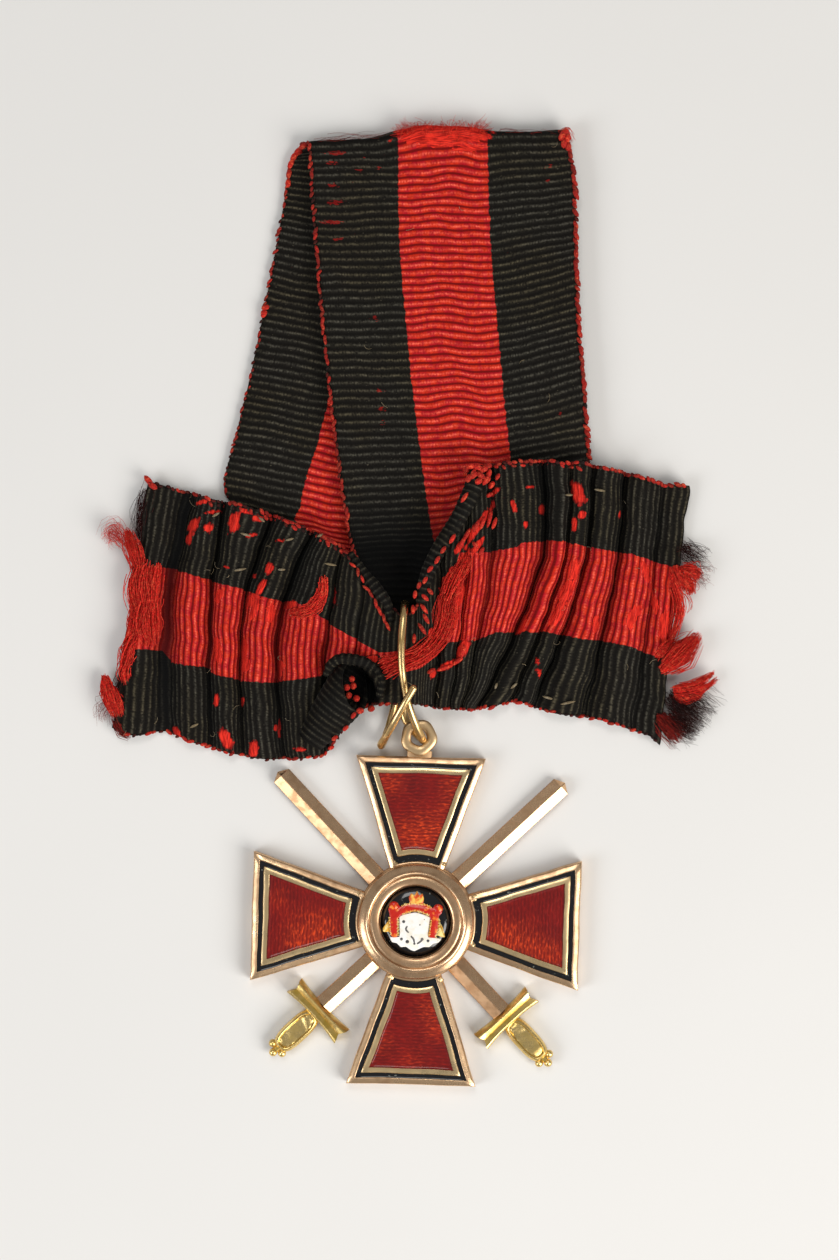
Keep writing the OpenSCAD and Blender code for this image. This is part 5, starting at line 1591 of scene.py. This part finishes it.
FOLD_TUFTS = [
    ([(x - 0.6, 82.6, 1.5), (x, 83.7, 1.5), (x + lean, 84.5, 1.0)], (0.6, 0.9, 1.3), 42, RED, 0.026)
    for x, lean in ((-1.1, -0.9), (0.0, -0.6), (1.4, 0.6), (2.8, -0.5), (4.3, 0.8), (5.8, 0.2), (6.9, 0.8))
]
FOLD_TUFTS += [
    ([(-11.0, 82.4, 1.4), (-7.0, 83.0, 1.4), (-2.0, 83.2, 1.4)], (0.2, 0.4, 0.3), 12, BROWN, 0.02),
    ([(8.0, 83.4, 1.4), (12.0, 83.4, 1.4), (16.0, 83.2, 1.4)], (0.2, 0.4, 0.4), 12, BROWN, 0.02),
    ([(15.0, 83.0, 1.4), (15.9, 83.5, 1.4), (16.4, 82.4, 1.2)], (0.4, 0.6, 0.6), 50, RED, 0.04)
]

# %% Locks at the neck
# The satin fold and two loose strands. Columns: places in the photo in pixels, spread at each, threads.
NECK_LOCKS = [
    ([(383, 671), (396, 664), (410, 659), (423, 652), (434, 642), (442, 628), (446, 612), (447, 598),
      (452, 586)], (1.0, 1.0, 0.85, 0.85, 0.9, 1.0, 1.1, 1.0, 0.8), 330),
    ([(446, 604), (452, 588), (459, 573), (468, 557)], (0.7, 0.8, 0.7, 0.5), 140),
    ([(324, 577), (323, 593), (315, 606), (302, 613), (289, 614)], (0.35, 0.55, 0.65, 0.55, 0.35), 180)
]
NECK_TUFTS = [
    ([on_cloth(*place, 0.1) for place in places], spread, count, RED, 0.05)
    for places, spread, count in NECK_LOCKS
]
print("locks:", len(LEFT_TUFTS + RIGHT_TUFTS + FOLD_TUFTS + NECK_TUFTS))

# %% Make the loose silk
floss_finish = thread_finish(
    "loose silk", colour(0.004, 0.0035, 0.003), colour(0.94, 0.03, 0.018),
    colour(1.0, 0.10, 0.045), sheen=0.0
)
LOOSE = [
    ("left", LEFT_TUFTS, 100), ("right", RIGHT_TUFTS, 130), ("fold", FOLD_TUFTS, 160),
    ("neck", NECK_TUFTS, 190)
]
for name, tufts, seed in LOOSE:
    floss = Heap()
    for k, (path, width, count, tones, thin) in enumerate(tufts):
        lock(floss, path, width, count, seed + k, thin, tones)
    floss.make(f"loose_silk_{name}", floss_finish, "silk_ribbon")

# %% [markdown]
# ## What the cloth is
# The long ribbon is one piece, folded over. The bow is a second piece, gathered in its middle, and
# its wings are halves of it. Both are cut from ribbon of the same width.

loop_l = lengths_along((loop_top[:, 0] + loop_top[:, -1]) / 2)[-1]
for wing, length, pieces in ((left_wing, left_l, [bow_rolls]), (right_wing, right_l, [])):
    length * MM

# %% [markdown]
# ## Table, light and camera
# The badge lies on a pale table under soft studio light: a large panel at its lower right, weaker
# ones at its left and overhead, and an even grey room, so that polished metal has something to
# mirror. The camera looks straight down, as the photographer did.

# %% Table
table_finish = Finish("pale table", {"Roughness": 0.9})
tint = table_finish.mixed(table_finish.noise(0.02), colour(0.68, 0.67, 0.65), colour(0.72, 0.71, 0.69))
table_finish.surface({"Base Color": tint})
table_mesh = bpy.data.meshes.new("table")
reach, table_z = 3.0, -0.00002
corners = [(x * reach, y * reach, table_z) for x, y in ((-1, -1), (1, -1), (1, 1), (-1, 1))]
table_mesh.from_pydata(corners, [], [(0, 1, 2, 3)])
table_mesh.materials.append(table_finish.material)
table = bpy.data.objects.new("table", table_mesh)
bpy.context.scene.collection.objects.link(table)

# %% Lights
lit_middle = Vector((0, 0.03, 0))


def panel(name, azimuth, height_angle, distance, size, watts, tint):
    """A square area light that faces the badge from this direction."""
    light = bpy.data.lights.new(name, "AREA")
    light.size = size
    light.energy = watts
    light.color = tint
    a, h = np.radians(azimuth), np.radians(height_angle)
    made = bpy.data.objects.new(name, light)
    towards = Vector((np.cos(h) * np.cos(a), np.cos(h) * np.sin(a), np.sin(h)))
    made.location = lit_middle + distance * towards
    made.rotation_euler = (made.location - lit_middle).to_track_quat("Z", "Y").to_euler()
    bpy.context.scene.collection.objects.link(made)


# Columns: name, direction and height in degrees, distance, size, watts and tint.
PANELS = [
    ("window right", -38, 36, 0.55, 0.36, 3.0, (1.0, 0.97, 0.93)),
    ("window left", 206, 34, 0.6, 0.30, 1.6, (0.95, 0.97, 1.0)),
    ("overhead", 100, 62, 0.8, 0.30, 1.3, (1.0, 0.98, 0.95))
]
for row in PANELS:
    panel(*row)
print("panels:", len(PANELS))

# %% Room
world = bpy.data.worlds.new("room")
bpy.context.scene.world = world
world.use_nodes = True
background = world.node_tree.nodes["Background"].inputs
background["Color"].default_value = colour(0.62, 0.62, 0.62)
background["Strength"].default_value = 0.45
bpy.context.scene.view_settings.view_transform = "Standard"

# %% Camera
camera = bpy.data.objects.new("camera", bpy.data.cameras.new("camera"))
camera.data.lens = 100
camera.data.sensor_width = 36
camera_height = 0.372
camera.location = (0.39 * MM, 30.8 * MM, camera_height)
bpy.context.scene.collection.objects.link(camera)
bpy.context.scene.camera = camera
print("camera:", round(camera_height / MM), "mm above the table")
